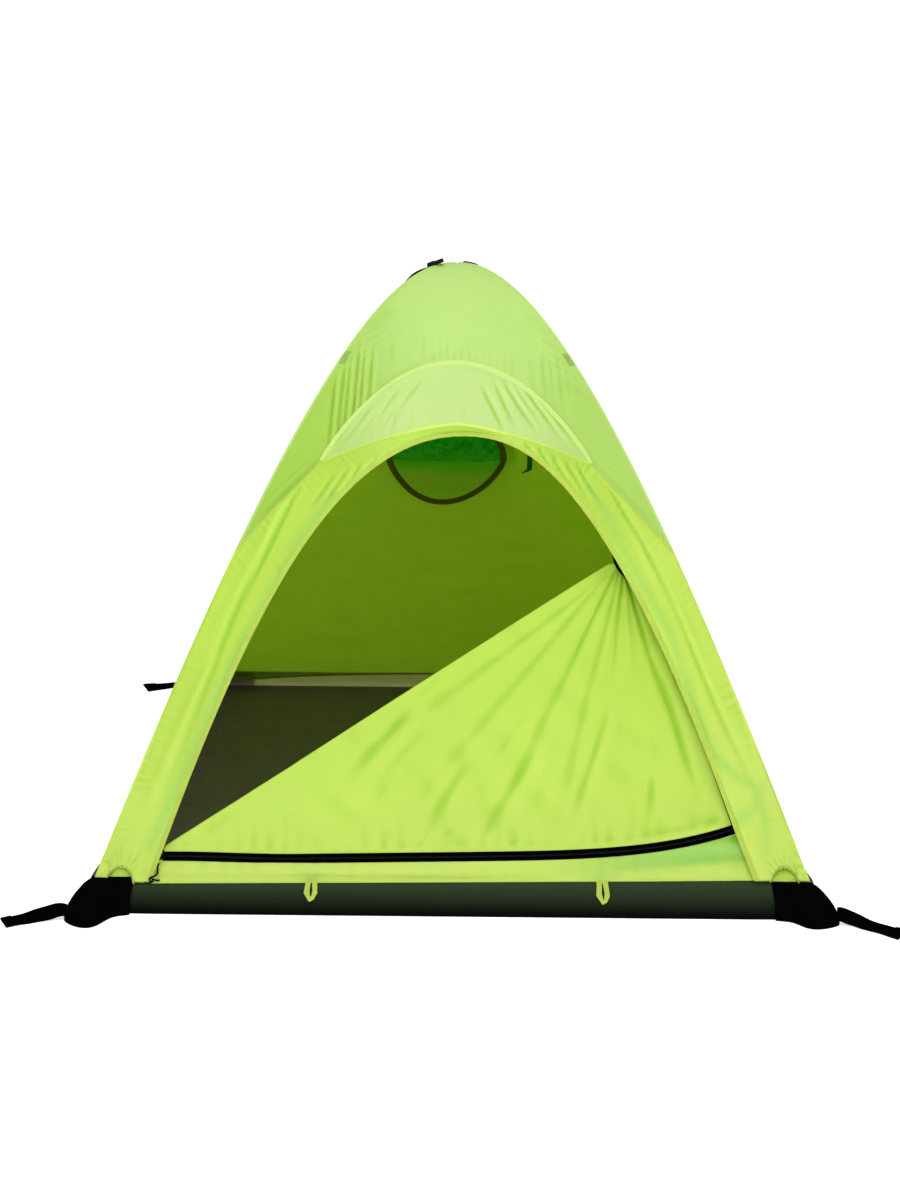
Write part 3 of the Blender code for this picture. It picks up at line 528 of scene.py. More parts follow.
def repeat_group(name, round_sleeve=False):
    """Small pieces set along a line at an even pitch, turned to the line and to its outward side."""
    inputs = [("Pitch", "Float", 0.004), ("Size", "Vector", (0.003, 0.0005, 0.0005))]
    tree, given, curve = geometry_group(name, inputs)
    inputs = {"Curve": curve, "Length": given["Pitch"]}
    steps = tree.add("GeometryNodeResampleCurve", inputs, mode="LENGTH").outputs["Curve"]
    tangent = tree.add("GeometryNodeInputTangent").outputs["Tangent"]
    turned = tree.add("FunctionNodeAlignRotationToVector", {"Vector": tangent}, axis="X").outputs["Rotation"]
    facing = tree.add("GeometryNodeInputNamedAttribute", {"Name": "facing"}, data_type="FLOAT_VECTOR")
    inputs = {"Rotation": turned, "Vector": facing.outputs["Attribute"]}
    set_up = tree.add("FunctionNodeAlignRotationToVector", inputs, axis="Z",
                      pivot_axis="X").outputs["Rotation"]
    if round_sleeve:
        tube = tree.add("GeometryNodeMeshCylinder", {"Vertices": 16, "Radius": 0.5, "Depth": 1.0})
        inputs = {"Geometry": tube.outputs["Mesh"], "Rotation": (0.0, QUARTER, 0.0)}
        bead = tree.add("GeometryNodeTransform", inputs).outputs["Geometry"]
    else:
        bead = tree.add("GeometryNodeMeshUVSphere",
                        {"Segments": 4, "Rings": 3, "Radius": 0.5}).outputs["Mesh"]
    inputs = {"Points": steps, "Instance": bead, "Rotation": set_up, "Scale": given["Size"]}
    return finish_group(tree, given, tree.add("GeometryNodeInstanceOnPoints", inputs).outputs["Instances"])


def rope_group():
    """A round tube with closed ends along a line."""
    tree, given, curve = geometry_group("tube_along_line",
                                        [("Radius", "Float", 0.0045), ("Sides", "Int", 16)])
    inputs = {"Resolution": given["Sides"], "Radius": given["Radius"]}
    ring = tree.add("GeometryNodeCurvePrimitiveCircle", inputs).outputs["Curve"]
    inputs = {"Curve": curve, "Profile Curve": ring, "Fill Caps": True}
    return finish_group(tree, given, tree.add("GeometryNodeCurveToMesh", inputs).outputs["Mesh"])


def grow(name, points, facing, group, material, slot, **sizes):
    """Runs a geometry group on a line and keeps the result as a plain mesh."""
    guide = line_mesh(name, points, facing)
    modifier = guide.modifiers.new("grow", "NODES")
    modifier.node_group = group
    keys = {item.name: item.identifier for item in group.interface.items_tree if item.in_out == "INPUT"}
    for key, value in {**sizes, "Finish": material}.items():
        modifier[keys[key]] = value
    ready = guide.evaluated_get(bpy.context.evaluated_depsgraph_get())
    mesh = bpy.data.meshes.new_from_object(ready)
    mesh.name = name
    bpy.data.objects.remove(guide, do_unlink=True)
    return keep(add_piece(name, mesh, material), slot)


def join_pieces(name, slot, made, *nodes):
    """One object from several meshes that share a material."""
    joined = bmesh.new()
    for piece in made:
        joined.from_mesh(piece.data)
    mesh = bpy.data.meshes.new(name)
    joined.to_mesh(mesh)
    joined.free()
    material = made[0].data.materials[0]
    for piece in made:
        bpy.data.objects.remove(piece, do_unlink=True)
    return keep(add_piece(name, mesh, material), slot, *nodes)


# Shader groups. They put out colours, masks and heights only; the colour-and-shade group's colour also
# carries painted shade and painted highlight.

def ripstop_group():
    """Square grid of thicker threads, and the fine weave between them."""
    inputs = [("Threads", "Vector"), ("Pitch", "Float", 0.0055), ("Line", "Float", 0.18)]
    tree, given = new_group("ShaderNodeTree", "ripstop_threads", inputs,
                            [("Lines", "Float"), ("Weave", "Float")])
    axes = tree.add("ShaderNodeSeparateXYZ", {"Vector": given["Threads"]}).outputs
    lines, weave = [], []
    for axis in ("X", "Y"):
        cell = tree.math("FRACT", tree.math("DIVIDE", axes[axis], given["Pitch"]))
        off = tree.math("MULTIPLY", tree.math("ABSOLUTE", tree.math("SUBTRACT", cell, 0.5)), 2.0)
        lines.append(tree.fit(off, 0.0, 1.0, tree.math("SUBTRACT", 1.0, given["Line"]), 1.0, "SMOOTHSTEP"))
        turns = tree.math("MULTIPLY", tree.math("DIVIDE", axes[axis], given["Pitch"]), 12.566)
        weave.append(tree.math("SINE", turns))
    both = tree.math("MULTIPLY", *weave)
    tree.add("NodeGroupOutput", {"Lines": tree.math("MAXIMUM", *lines), "Weave": both})
    return tree.tree


def crumple_group():
    """Small creases of thin coated cloth: a height, and a soft uneven tone."""
    inputs = [("Place", "Vector"), ("Size", "Float", 1.0)]
    tree, given = new_group("ShaderNodeTree", "crumpled_cloth", inputs,
                            [("Height", "Float"), ("Tone", "Float")])
    place, size = given["Place"], given["Size"]
    broad = tree.noise(place, tree.math("DIVIDE", 22.0, size), 3.0, Roughness=0.55, Distortion=0.6)
    ridge = tree.math("ABSOLUTE", tree.math("SUBTRACT", broad, 0.5))
    fine = tree.noise(place, tree.math("DIVIDE", 90.0, size), 2.0)
    height = tree.math("ADD", tree.math("MULTIPLY", ridge, -1.4), tree.math("MULTIPLY", fine, 0.25))
    tree.add("NodeGroupOutput", {"Height": height, "Tone": tree.noise(place, 4.5, 2.0)})
    return tree.tree


def colour_and_shade_group():
    """Colour of dyed cloth, with painted shade and highlight over it: its lines are a little lighter, masks
    move it to a warm or a cool colour, which some panels use as painted light and painted shade, and the Fold
    mask darkens it in folds as painted shade and lightens their crests as painted highlight.
    """
    inputs = [
        ("Colour", "Color", (0.6, 0.85, 0.1, 1)), ("Warm Colour", "Color", (0.7, 0.85, 0.08, 1)),
        ("Cool Colour", "Color", (0.4, 0.75, 0.2, 1)), ("Warm", "Float", 0.0), ("Cool", "Float", 0.0),
        ("Lines", "Float", 0.0), ("Line Shade", "Float", 0.1), ("Tone", "Float", 0.5),
        # Fold and Fold Colour: the painted shade in folds and its colour, and the painted highlight on
        # crests.
        ("Uneven", "Float", 0.1), ("Fold", "Float", 0.0), ("Fold Colour", "Color", (0.64, 0.83, 0.26, 1)),
    ]
    tree, given = new_group("ShaderNodeTree", "dyed_cloth_and_painted_shade", inputs, [("Colour", "Color")])
    white = (1, 1, 1, 1)
    shade = tree.blend(given["Warm"], given["Colour"], given["Warm Colour"])
    shade = tree.blend(given["Cool"], shade, given["Cool Colour"])
    shade = tree.blend(tree.math("MULTIPLY", given["Lines"], given["Line Shade"]), shade, white, "SOFT_LIGHT")
    uneven = tree.math("MULTIPLY", tree.math("SUBTRACT", 0.75, given["Tone"]), given["Uneven"])
    shade = tree.blend(uneven, shade, (0.2, 0.25, 0.05, 1), "MULTIPLY")
    # Painted shade: the Fold mask darkens the colour in folds.
    shade = tree.blend(tree.math("MAXIMUM", given["Fold"]), shade, given["Fold Colour"], "MULTIPLY")
    # Painted highlight: the crests of the folds are lightened towards white.
    painted_crest_highlight = tree.math("MAXIMUM", tree.math("MULTIPLY", given["Fold"], -0.22))
    tree.add("NodeGroupOutput", {"Colour": tree.blend(painted_crest_highlight, shade, white, "SOFT_LIGHT")})
    return tree.tree


def webbing_group():
    """Ribs of woven webbing: across its width in steps, with a twill along it."""
    inputs = [("Threads", "Vector"), ("Rib", "Float", 0.0016)]
    tree, given = new_group("ShaderNodeTree", "webbing_ribs", inputs, [("Height", "Float")])
    axes = tree.add("ShaderNodeSeparateXYZ", {"Vector": given["Threads"]}).outputs
    turns = [
        tree.math("MULTIPLY", tree.math("DIVIDE", axes[axis], given["Rib"]), 6.2832) for axis in ("X", "Y")
    ]
    ribs = tree.math("SINE", turns[0])
    picks = tree.math("SINE",
                      tree.math("ADD", turns[1], tree.math("MULTIPLY", tree.math("SIGN", ribs), 1.5708)))
    height = tree.math("ADD", tree.math("ABSOLUTE", ribs), tree.math("MULTIPLY", picks, 0.5))
    tree.add("NodeGroupOutput", {"Height": height})
    return tree.tree


def wear_group():
    """Uneven rub and fine scratches of moulded plastic, metal and rubbery cloth."""
    inputs = [("Place", "Vector"), ("Size", "Float", 1.0)]
    tree, given = new_group("ShaderNodeTree", "surface_wear", inputs, [("Rub", "Float"), ("Grain", "Float")])
    rub = tree.noise(given["Place"], tree.math("DIVIDE", 40.0, given["Size"]), 5.0)
    grain = tree.noise(given["Place"], tree.math("DIVIDE", 900.0, given["Size"]), 1.0)
    tree.add("NodeGroupOutput", {"Rub": rub, "Grain": grain})
    return tree.tree


RIPSTOP, CRUMPLE, COLOUR_AND_SHADE = ripstop_group(), crumple_group(), colour_and_shade_group()
RIBS, WEAR = webbing_group(), wear_group()


class Finish(Tree):
    """A material with its Principled shader, and the inputs that the patterns read."""

    def __init__(self, name, roughness, **sockets):
        self.made = bpy.data.materials.new(name)
        self.made.use_nodes = True
        super().__init__(self.made.node_tree)
        self.shader = self.tree.nodes["Principled BSDF"]
        for key, value in {"Roughness": roughness, **sockets}.items():
            self.shader.inputs[key.replace("_", " ")].default_value = value
        self.place = self.add("ShaderNodeTexCoord").outputs["Object"]
        self.threads = self.add("ShaderNodeUVMap", uv_map="cloth").outputs["UV"]

    def mask(self, name):
        return self.add("ShaderNodeAttribute", attribute_name=name).outputs["Fac"]

    def group(self, group, **inputs):
        return self.add("ShaderNodeGroup", inputs, node_tree=group).outputs

    def feed(self, key, socket):
        self.tree.links.new(socket, self.shader.inputs[key])

    def feed_colour_and_shade(self, colour, tone, uneven, **more):
        """Feeds the surface's colour, with the painted shade and painted light that its masks call for. Other
        colours and masks are named as the colour-and-shade group's inputs are.
        """
        inputs = {"Colour": colour, "Tone": tone, "Uneven": uneven}
        inputs.update({key.replace("_", " "): value for key, value in more.items()})
        for key, value in inputs.items():
            if key.endswith("Colour"):
                inputs[key] = (*value, 1.0)
        self.feed("Base Color", self.group(COLOUR_AND_SHADE, **inputs)["Colour"])

    def relief(self, height, distance):
        normal = self.add("ShaderNodeBump", {"Height": height, "Distance": distance, "Strength": 1.0})
        self.feed("Normal", normal.outputs["Normal"])
        return normal.outputs["Normal"]

    def lit_through(self, colour, normal, share):
        """Lets the light behind thin cloth show, in the colour that it takes on inside the cloth."""
        glow = self.add("ShaderNodeBsdfTranslucent", {"Color": (*colour, 1.0), "Normal": normal})
        inputs = {0: share, 1: self.shader.outputs["BSDF"], 2: glow.outputs["BSDF"]}
        mixed = self.add("ShaderNodeMixShader", inputs).outputs["Shader"]
        self.tree.links.new(mixed, self.tree.nodes["Material Output"].inputs["Surface"])


def thin_cloth(name, colour, warm, cool, share=0.45, crumple=2.2, relief=0.0008, lit=(0.72, 0.82, 0.19)):
    """Thin coated ripstop cloth that lets light through."""
    made = Finish(name, 0.46, Sheen_Weight=0.12, Sheen_Roughness=0.4)
    grid = made.group(RIPSTOP, Threads=made.threads)
    folds = made.group(CRUMPLE, Place=made.place, Size=crumple)
    # Masks: on some panels warm is painted light and cool is painted shade; fold is painted shade in folds
    # and painted highlight on crests.
    made.feed_colour_and_shade(colour, folds["Tone"], 0.16, Warm_Colour=warm, Cool_Colour=cool, Warm=made.mask("warm"),
             Cool=made.mask("cool"), Lines=grid["Lines"], Line_Shade=0.12, Fold=made.mask("fold"))
    raised = made.math("ADD", folds["Height"], made.math("MULTIPLY", grid["Lines"], 0.10))
    normal = made.relief(made.math("ADD", raised, made.math("MULTIPLY", grid["Weave"], 0.015)), relief)
    made.feed("Roughness", made.fit(folds["Tone"], 0.40, 0.54))
    made.lit_through(lit, normal, share)
    return made.made


def coated_cloth(name, colour, ground_shade_colour, inner_colour, fade_height, lit=None, share=0.0):
    """Heavy dark ripstop with a grey coating on its inner face; its outside darkens towards the ground as
    painted shade.
    """
    made = Finish(name, 0.5, Specular_IOR_Level=0.02)
    grid = made.group(RIPSTOP, Threads=made.threads, Pitch=0.0058, Line=0.22)
    folds = made.group(CRUMPLE, Place=made.place, Size=0.8)
    height = made.add("ShaderNodeSeparateXYZ", {"Vector": made.place}).outputs["Z"]
    # Painted shade near the ground: 1 at the ground, fading to 0 at fade_height.
    low = made.fit(height, 1.0, 0.0, 0.0, fade_height, "SMOOTHSTEP")
    made.feed_colour_and_shade(colour, folds["Tone"], 0.25, Warm_Colour=ground_shade_colour, Cool_Colour=inner_colour, Warm=low,
             Cool=made.mask("inner"), Lines=grid["Lines"], Line_Shade=0.45)
    raised = made.math("ADD", folds["Height"], made.math("MULTIPLY", grid["Lines"], 0.22))
    normal = made.relief(raised, 0.0012)
    made.feed("Roughness", made.fit(folds["Tone"], 0.42, 0.6))
    if share:
        made.lit_through(lit, normal, share)
    return made.made


def woven_tape(name, colour, rib=0.0016, share=0.0, specular=0.3, ior=1.5):
    """Webbing, binding and zip tape."""
    made = Finish(name, 0.7, Specular_IOR_Level=specular, IOR=ior)
    ribs = made.group(RIBS, Threads=made.threads, Rib=rib)["Height"]
    worn = made.group(WEAR, Place=made.place)
    made.feed_colour_and_shade(colour, worn["Rub"], 0.3, Lines=ribs, Line_Shade=0.15)
    normal = made.relief(made.math("ADD", ribs, made.math("MULTIPLY", worn["Grain"], 0.4)), 0.0003)
    if share:
        made.lit_through(colour, normal, share)
    return made.made


def plain_surface(name, colour, roughness, relief=0.0002, **sockets):
    """Plastic, thread and rubbery cloth."""
    made = Finish(name, roughness, **sockets)
    worn = made.group(WEAR, Place=made.place)
    made.feed_colour_and_shade(colour, worn["Rub"], 0.25)
    made.feed("Roughness", made.fit(worn["Rub"], roughness - 0.08, roughness + 0.08, 0.3, 0.7))
    made.relief(worn["Grain"], relief)
    return made.made


def vent_net():
    """Fine insect net: green threads with open holes between them, mottled where the light catches it."""
    made = Finish("vent_net", 0.8, Specular_IOR_Level=0.1)
    grid = made.group(RIPSTOP, Threads=made.threads, Pitch=0.0014, Line=0.62)["Lines"]
    mottle = made.noise(made.place, 70.0, 3.0, Roughness=0.65)
    made.feed_colour_and_shade((0.026, 0.58, 0.008), mottle, 0.3, Warm_Colour=(0.050, 0.90, 0.014),
             Cool_Colour=(0.12, 0.80, 0.006),
             Warm=made.fit(mottle, 0.0, 1.0, 0.36, 0.66), Cool=made.mask("cool"), Lines=grid)
    made.feed("Alpha", made.fit(grid, 0.85, 1.0, 0.0, 0.30))
    made.relief(grid, 0.0003)
    return made.made


def brushed_pole():
    made = Finish("pole_tube", 0.3, Metallic=1.0)
    along = made.add("ShaderNodeMapping",
                     {"Vector": made.place, "Scale": (400.0, 400.0, 400.0)}).outputs["Vector"]
    streak = made.noise(along, 1.0, 2.0)
    made.feed_colour_and_shade((0.42, 0.44, 0.47), made.group(WEAR, Place=made.place, Size=2.0)["Rub"], 0.5)
    made.feed("Roughness", made.fit(streak, 0.22, 0.42))
    made.relief(streak, 0.0001)
    return made.made


# Limes: the cloth's colour, then a warm and a cool lime that masks blend in. Several panels use the warm lime
# as painted light and the cool limes as painted shade; LIME_SHADE is the painted shade at the sides of the
# canopy and visor.
LIMES = (0.59, 0.85, 0.085), (0.70, 0.89, 0.16), (0.38, 0.74, 0.15)
LIME_SHADE, BLACK = (0.44, 0.70, 0.07), (0.0012, 0.0012, 0.0012)

LIME_CLOTH = thin_cloth("lime_cloth", *LIMES, crumple=1.0, relief=0.0012)
SMOOTH_LIME = thin_cloth("lime_cloth_taut", *LIMES)
# The canopy's lime is paler and bluer than the others: a painted sheen of the overhead light on its upward
# face, in its colour and in the colour of the light through it.
LIME_WITH_PAINTED_SHEEN = thin_cloth("lime_cloth_top", (0.57, 0.82, 0.23), LIMES[1], LIME_SHADE, lit=(0.69, 0.81, 0.28))
# The visor's lime is paler still: a painted sheen on its upward face.
VISOR_LIME_PAINTED_SHEEN = thin_cloth("lime_cloth_visor", (0.62, 0.86, 0.33), (0.70, 0.89, 0.30), LIME_SHADE,
                        lit=(0.72, 0.84, 0.38))
WALL_LIME = thin_cloth("lime_cloth_wall", *LIMES, lit=(0.66, 0.84, 0.12))
VENT_CLOTH = thin_cloth("lime_cloth_vent", *LIMES[:2], (0.03, 0.80, 0.01), 0.35, 1.0, 0.0012,
                        (0.52, 0.76, 0.05))
SEAM_CLOTH = thin_cloth("lime_seam", (0.66, 0.87, 0.23), (0.72, 0.88, 0.16), LIMES[2], 0.4, 1.0, 0.0012,
                        (0.78, 0.85, 0.28))
HEM_TAPE = woven_tape("hem_tape", (0.70, 0.88, 0.13), rib=0.0012, share=0.3)
# Tubs and floor: colour, the painted shade colour they darken to at the ground, inner coating, and the height
# of that shade.
TUB_CLOTH = coated_cloth("dark_green_cloth", (0.030, 0.048, 0.022), (0.0002, 0.0010, 0.0001),
                         (0.60, 0.56, 0.50), 0.06)
REAR_TUB = coated_cloth("rear_tub_cloth", (0.036, 0.060, 0.024), (0.0006, 0.0014, 0.0002),
                        (0.80, 0.76, 0.66), 0.06, (0.75, 0.82, 0.36), 0.45)
FLOOR_CLOTH = coated_cloth("floor_cloth", (0.19, 0.14, 0.19), (0.18, 0.135, 0.18), (0.10, 0.10, 0.075), 0.01)
TAB_CLOTH = woven_tape("dark_green_tab", (0.014, 0.30, 0.016), specular=0.1)
GREY_PATCH = woven_tape("grey_patch", (0.50, 0.74, 0.20), rib=0.0014, share=0.4)
VENT_TAPE = woven_tape("vent_tape", (0.21, 0.19, 0.024), specular=0.05)
BLACK_TAPE = woven_tape("black_webbing", BLACK, specular=0.02, ior=1.05)
TAN_TAPE = woven_tape("seam_tape", (0.80, 0.74, 0.14), share=0.3)
BLACK_RUBBER = plain_surface("black_boot_cloth", BLACK, 0.6, 0.0004, Specular_IOR_Level=0.012, IOR=1.1)
BLACK_PLASTIC = plain_surface("black_plastic", (0.002, 0.002, 0.002), 0.38, Specular_IOR_Level=0.08)
ZIP_COIL = plain_surface("zip_coil", (0.003, 0.003, 0.003), 0.35, Specular_IOR_Level=0.25)
BLACK_CORD = plain_surface("black_cord", BLACK, 0.75, 0.0003, Specular_IOR_Level=0.1)
LIME_THREAD = plain_surface("lime_thread", (0.62, 0.80, 0.10), 0.6)
NET, POLE_METAL = vent_net(), brushed_pole()
RIDGE_CLOTH = {"front": LIME_WITH_PAINTED_SHEEN, "rear": WALL_LIME}

STITCH, SLEEVE, ROPE = repeat_group("stitch_row"), repeat_group("ferrule_row", True), rope_group()
STITCH_SIZES = {"Pitch": 0.0042, "Size": (0.0030, 0.0006, 0.0006)}
COIL_SIZES = {"Pitch": 0.0016, "Size": (0.0010, 0.0046, 0.0018)}
VENT_COIL_SIZES = {"Pitch": 0.0016, "Size": (0.0010, 0.0036, 0.0014)}


def stitches(name, *lines, slot="hem_tape"):
    """One object with the stitches along several lines, each a set of points and its outward directions."""
    rows = [grow(name, *line, STITCH, LIME_THREAD, slot, **STITCH_SIZES) for line in lines]
    join_pieces(name, slot, rows)


def stitch_line(points, place, lift=0.0002):
    """A column of a grid, a little above its surface, with its outward directions."""
    normal = outward_normals(points)[:, place]
    return points[:, place] + normal * lift, normal


# Camera at the photograph's place, with lens and roll fitted to the tent's outline.
CAMERA_PLACE = (-0.0173, -4.117, 0.927)
CAMERA_TURN, CAMERA_DOWN, CAMERA_ROLL, CAMERA_LENS = -0.146, 7.666, 0.592, 59.49


def make_camera():
    lens = bpy.data.cameras.new("camera")
    lens.lens, lens.sensor_width = CAMERA_LENS, 36.0
    camera = link("camera", lens)
    turns = (CAMERA_TURN, "Z"), (90 - CAMERA_DOWN, "X"), (CAMERA_ROLL, "Z")
    turn, tilt, roll = (Matrix.Rotation(math.radians(angle), 4, axis) for angle, axis in turns)
    camera.matrix_world = Matrix.Translation(CAMERA_PLACE) @ turn @ tilt @ roll
    bpy.context.scene.camera = camera


# The lower slider's pull cord and its knot, along the route of the construction.
CORD_DIAMETER, CORD_LENGTH = 0.0030, 0.0398
CORD_ROUTE = [
    (-0.4790, -0.9751, 0.0658), (-0.4795, -0.9800, 0.0645), (-0.4792, -0.9855, 0.0610),
    (-0.4785, -0.9905, 0.0575), (-0.4785, -0.9955, 0.0548), (-0.4820, -0.9990, 0.0525),
    (-0.4875, -0.9998, 0.0505), (-0.4910, -0.9992, 0.0475),
]
KNOT_ROUTE = [
    (-0.4908, -0.9992, 0.0470), (-0.4898, -1.0012, 0.0448), (-0.4862, -1.0016, 0.0436),
    (-0.4846, -0.9990, 0.0462), (-0.4872, -0.9968, 0.0470), (-0.4892, -0.9980, 0.0442),
    (-0.4862, -1.0010, 0.0440), (-0.4828, -1.0004, 0.0464), (-0.4790, -0.9992, 0.0452),
    (-0.4740, -0.9992, 0.0455),
]


def smooth_path(places, steps):
    """An even curve through places."""
    places = np.asarray(places, dtype=float)
    ends = np.vstack([2 * places[0] - places[1], places, 2 * places[-1] - places[-2]])
    made = []
    for a, b, c, d in zip(ends, ends[1:], ends[2:], ends[3:]):
        for t in np.arange(steps) / steps:
            bend = (c - a) * t + (2 * a - 5 * b + 4 * c - d) * t**2 + (3 * b - a - 3 * c + d) * t**3
            made.append(b + bend / 2)
    return np.array(made + [places[-1]])


def cord_piece(name, places, node):
    curve = bpy.data.curves.new(name, "CURVE")
    curve.dimensions = "3D"
    spline = curve.splines.new("POLY")
    spline.points.add(len(places) - 1)
    for knot, place in zip(spline.points, places):
        knot.co = (*place, 1.0)
    curve.bevel_depth, curve.bevel_resolution = CORD_DIAMETER / 2, 4
    curve.use_fill_caps = True
    return keep(add_piece(name, curve, BLACK_CORD), "black_trim", node)


def make_pull_cord():
    knot = cord_piece("zip_pull_knot_tied", smooth_path(KNOT_ROUTE, 6), "zip_pull_knot")
    cord = cord_piece("zip_pull_cord_drawn", smooth_path(CORD_ROUTE, 3), "zip_pull_cord")


# Tent panels.

def big_panel(side, columns, seed):
    """Points of a side or rear wall, and its swells, seam puckers and corner folds."""
    across, share = row(-1.0, 1.0, columns), column(APEX_SHARE, TUB_SHARE, 96)
    points = wall(side, across, share)
    run, low = (HALF_WIDTH, 0.7) if side == "rear" else (HALF_LENGTH, 1.0)
    slope = cloth_uv(points)[..., 1]
    level, slope, edge = across * run * share, slope[-1, 0] - slope, (1 - np.abs(across)) * run * share
    push = waves(level, slope, seed, 0.0016 * low, (0.30, 0.75))
    push = push + waves(level, slope, seed + 1, 0.0006, (0.05, 0.12), (1.2, 1.9))
    push = push + puckers(slope, edge, seed + 2, 0.019, 0.0011, 0.035)
    push = push + puckers(level, slope, seed + 3, 0.023, 0.0014, 0.045)
    draw = np.random.default_rng(seed + 4)
    for hand in (-1, 1):
        for climb in (0.5, 0.95, 1.6):
            far = draw.uniform(0.30, 0.46)
            start = (hand * (run * TUB_SHARE - 0.02), 0.015)
            end = (start[0] - hand * far * math.cos(climb), start[1] + far * math.sin(climb))
            push = push + crease(level, slope, start, end, 0.020, -0.0035, narrow=0.35)
    return points, push * smooth(edge, 0.0, 0.012) * smooth(slope, 0.0, 0.01)


def wall_panel(side, points, push):
    # Painted shade in the wall's folds and painted highlight on their crests.
    masks = {"fold": 0.6 * fold_shade(push, 0.003)}
    return panel(f"{side}_wall_cloth", points, WALL_LIME, f"{side}_wall", rests_on=POLES, push=push,
                 masks=masks)


def make_rear_wall():
    points, push = big_panel("rear", 108, 31)
    off = np.hypot(points[..., 0] - VENT_SHIFT, (points - VENT_CENTRE) @ VENT_UP)
    cut_vent_hole(wall_panel("rear", points, push * smooth(off, VENT_RADIUS + 0.01, VENT_RADIUS + 0.09)))
    make_rear_skirt()


def make_rear_skirt():
    """The rear wall's foot inside the tub: it hangs lower towards both corners and ends in a felled seam."""
    part, down = row(-1.0, 1.0, 160), column(0.0, 1.0, 10)
    low = 0.045 - 0.0320 * part**2
    points = tub_wall("rear", part * 0.985, lerp(TUB_HEIGHT - 0.0005, low, down), -0.0042)
    panel("rear_wall_skirt", points, WALL_LIME)
    seam = tub_wall("rear", part * 0.985, low + column(0.006, 0.0, 4), -0.0056)
    keep(cloth("rear_skirt_seam", seam, TAN_TAPE, thickness=0.0010), "hem_tape")


def vent_plane():
    """Centre of the vent, its way up the wall and its normal into the tent."""
    centre = end_wall("rear", VENT_SHIFT, VENT_HEIGHT)
    up = unit(end_wall("rear", VENT_SHIFT, VENT_HEIGHT + 0.004) - centre)
    normal = unit(np.cross(up, -ACROSS_X))
    return centre, up, normal if normal[1] < 0 else -normal


VENT_CENTRE, VENT_UP, VENT_IN = vent_plane()


def on_rear_wall(x, up_wall, depth=0.0, reach=0.0):
    """Points of the rear wall straight through places on the vent's plane."""
    x, up_wall = (axis[..., None] for axis in np.broadcast_arrays(x, up_wall))
    place = VENT_CENTRE + x * ACROSS_X + up_wall * VENT_UP
    for _ in range(5):
        miss = end_wall("rear", place[..., 0], place[..., 2]) - place
        place = place + VENT_IN * (miss @ VENT_IN)[..., None]
    place = place + VENT_IN * np.asarray(depth)[..., None]
    place[..., 1] += reach
    return place


def vent_rim(turn, radius):
    """Places on the vent's outline: round at the top, drawn in a little towards its foot."""
    turn, radius = np.broadcast_arrays(turn, radius)
    rise, run = np.sin(turn), np.cos(turn)
    drawn_in = np.sign(run) * np.sqrt(np.clip(1 - np.abs(rise) ** VENT_TAPER, 0.0, 1.0))
    lean = VENT_LEAN * np.clip(-rise, 0.0, 1.0) ** 2
    return radius * (np.where(rise < 0, drawn_in, run) - lean), radius * rise


def cut_vent_hole(piece):
    x, rise = vent_rim(np.linspace(0.0, TURN, 97)[:-1], VENT_RADIUS)
    middle = VENT_CENTRE + x[:, None] * ACROSS_X + rise[:, None] * VENT_UP
    ids = np.arange(192).reshape(2, 96)
    faces = quads(np.hstack([ids, ids[:, :1]])).tolist() + ids.tolist()
    mesh = new_mesh("vent_cutter", np.vstack([middle - VENT_IN * 0.08, middle + VENT_IN * 0.08]), faces)
    face_out(mesh)
    cutter = link("vent_cutter", mesh)
    cut = piece.modifiers.new("vent_hole", "BOOLEAN")
    cut.operation, cut.solver, cut.object = "DIFFERENCE", "EXACT", cutter
    ready = piece.evaluated_get(bpy.context.evaluated_depsgraph_get())
    mesh = bpy.data.meshes.new_from_object(ready)
    piece.modifiers.clear()
    piece.data = mesh
    bpy.data.objects.remove(cutter, do_unlink=True)


def left_seam(steps):
    """Places and heights of the straight seam from the left pole line up to the visor."""
    rise = np.linspace(0.0, 1.0, steps)[:-1]
    foot = -HALF_WIDTH * share_at(SEAM_FOOT_HEIGHT)
    return lerp(foot, -VISOR_HALF_WIDTH, rise), lerp(SEAM_FOOT_HEIGHT, VISOR_FOOT_HEIGHT, rise)


def head_line():
    """The canopy's lower edge, from one pole line over the visor to the other."""
    seam_x, seam_z = left_seam(46)
    arc_x = VISOR_HALF_WIDTH * np.sin(np.linspace(-QUARTER, QUARTER, 151))
    x = np.concatenate([seam_x, arc_x, -seam_x[::-1]])
    return x, np.concatenate([seam_z, visor_arc(arc_x), seam_z[::-1]])


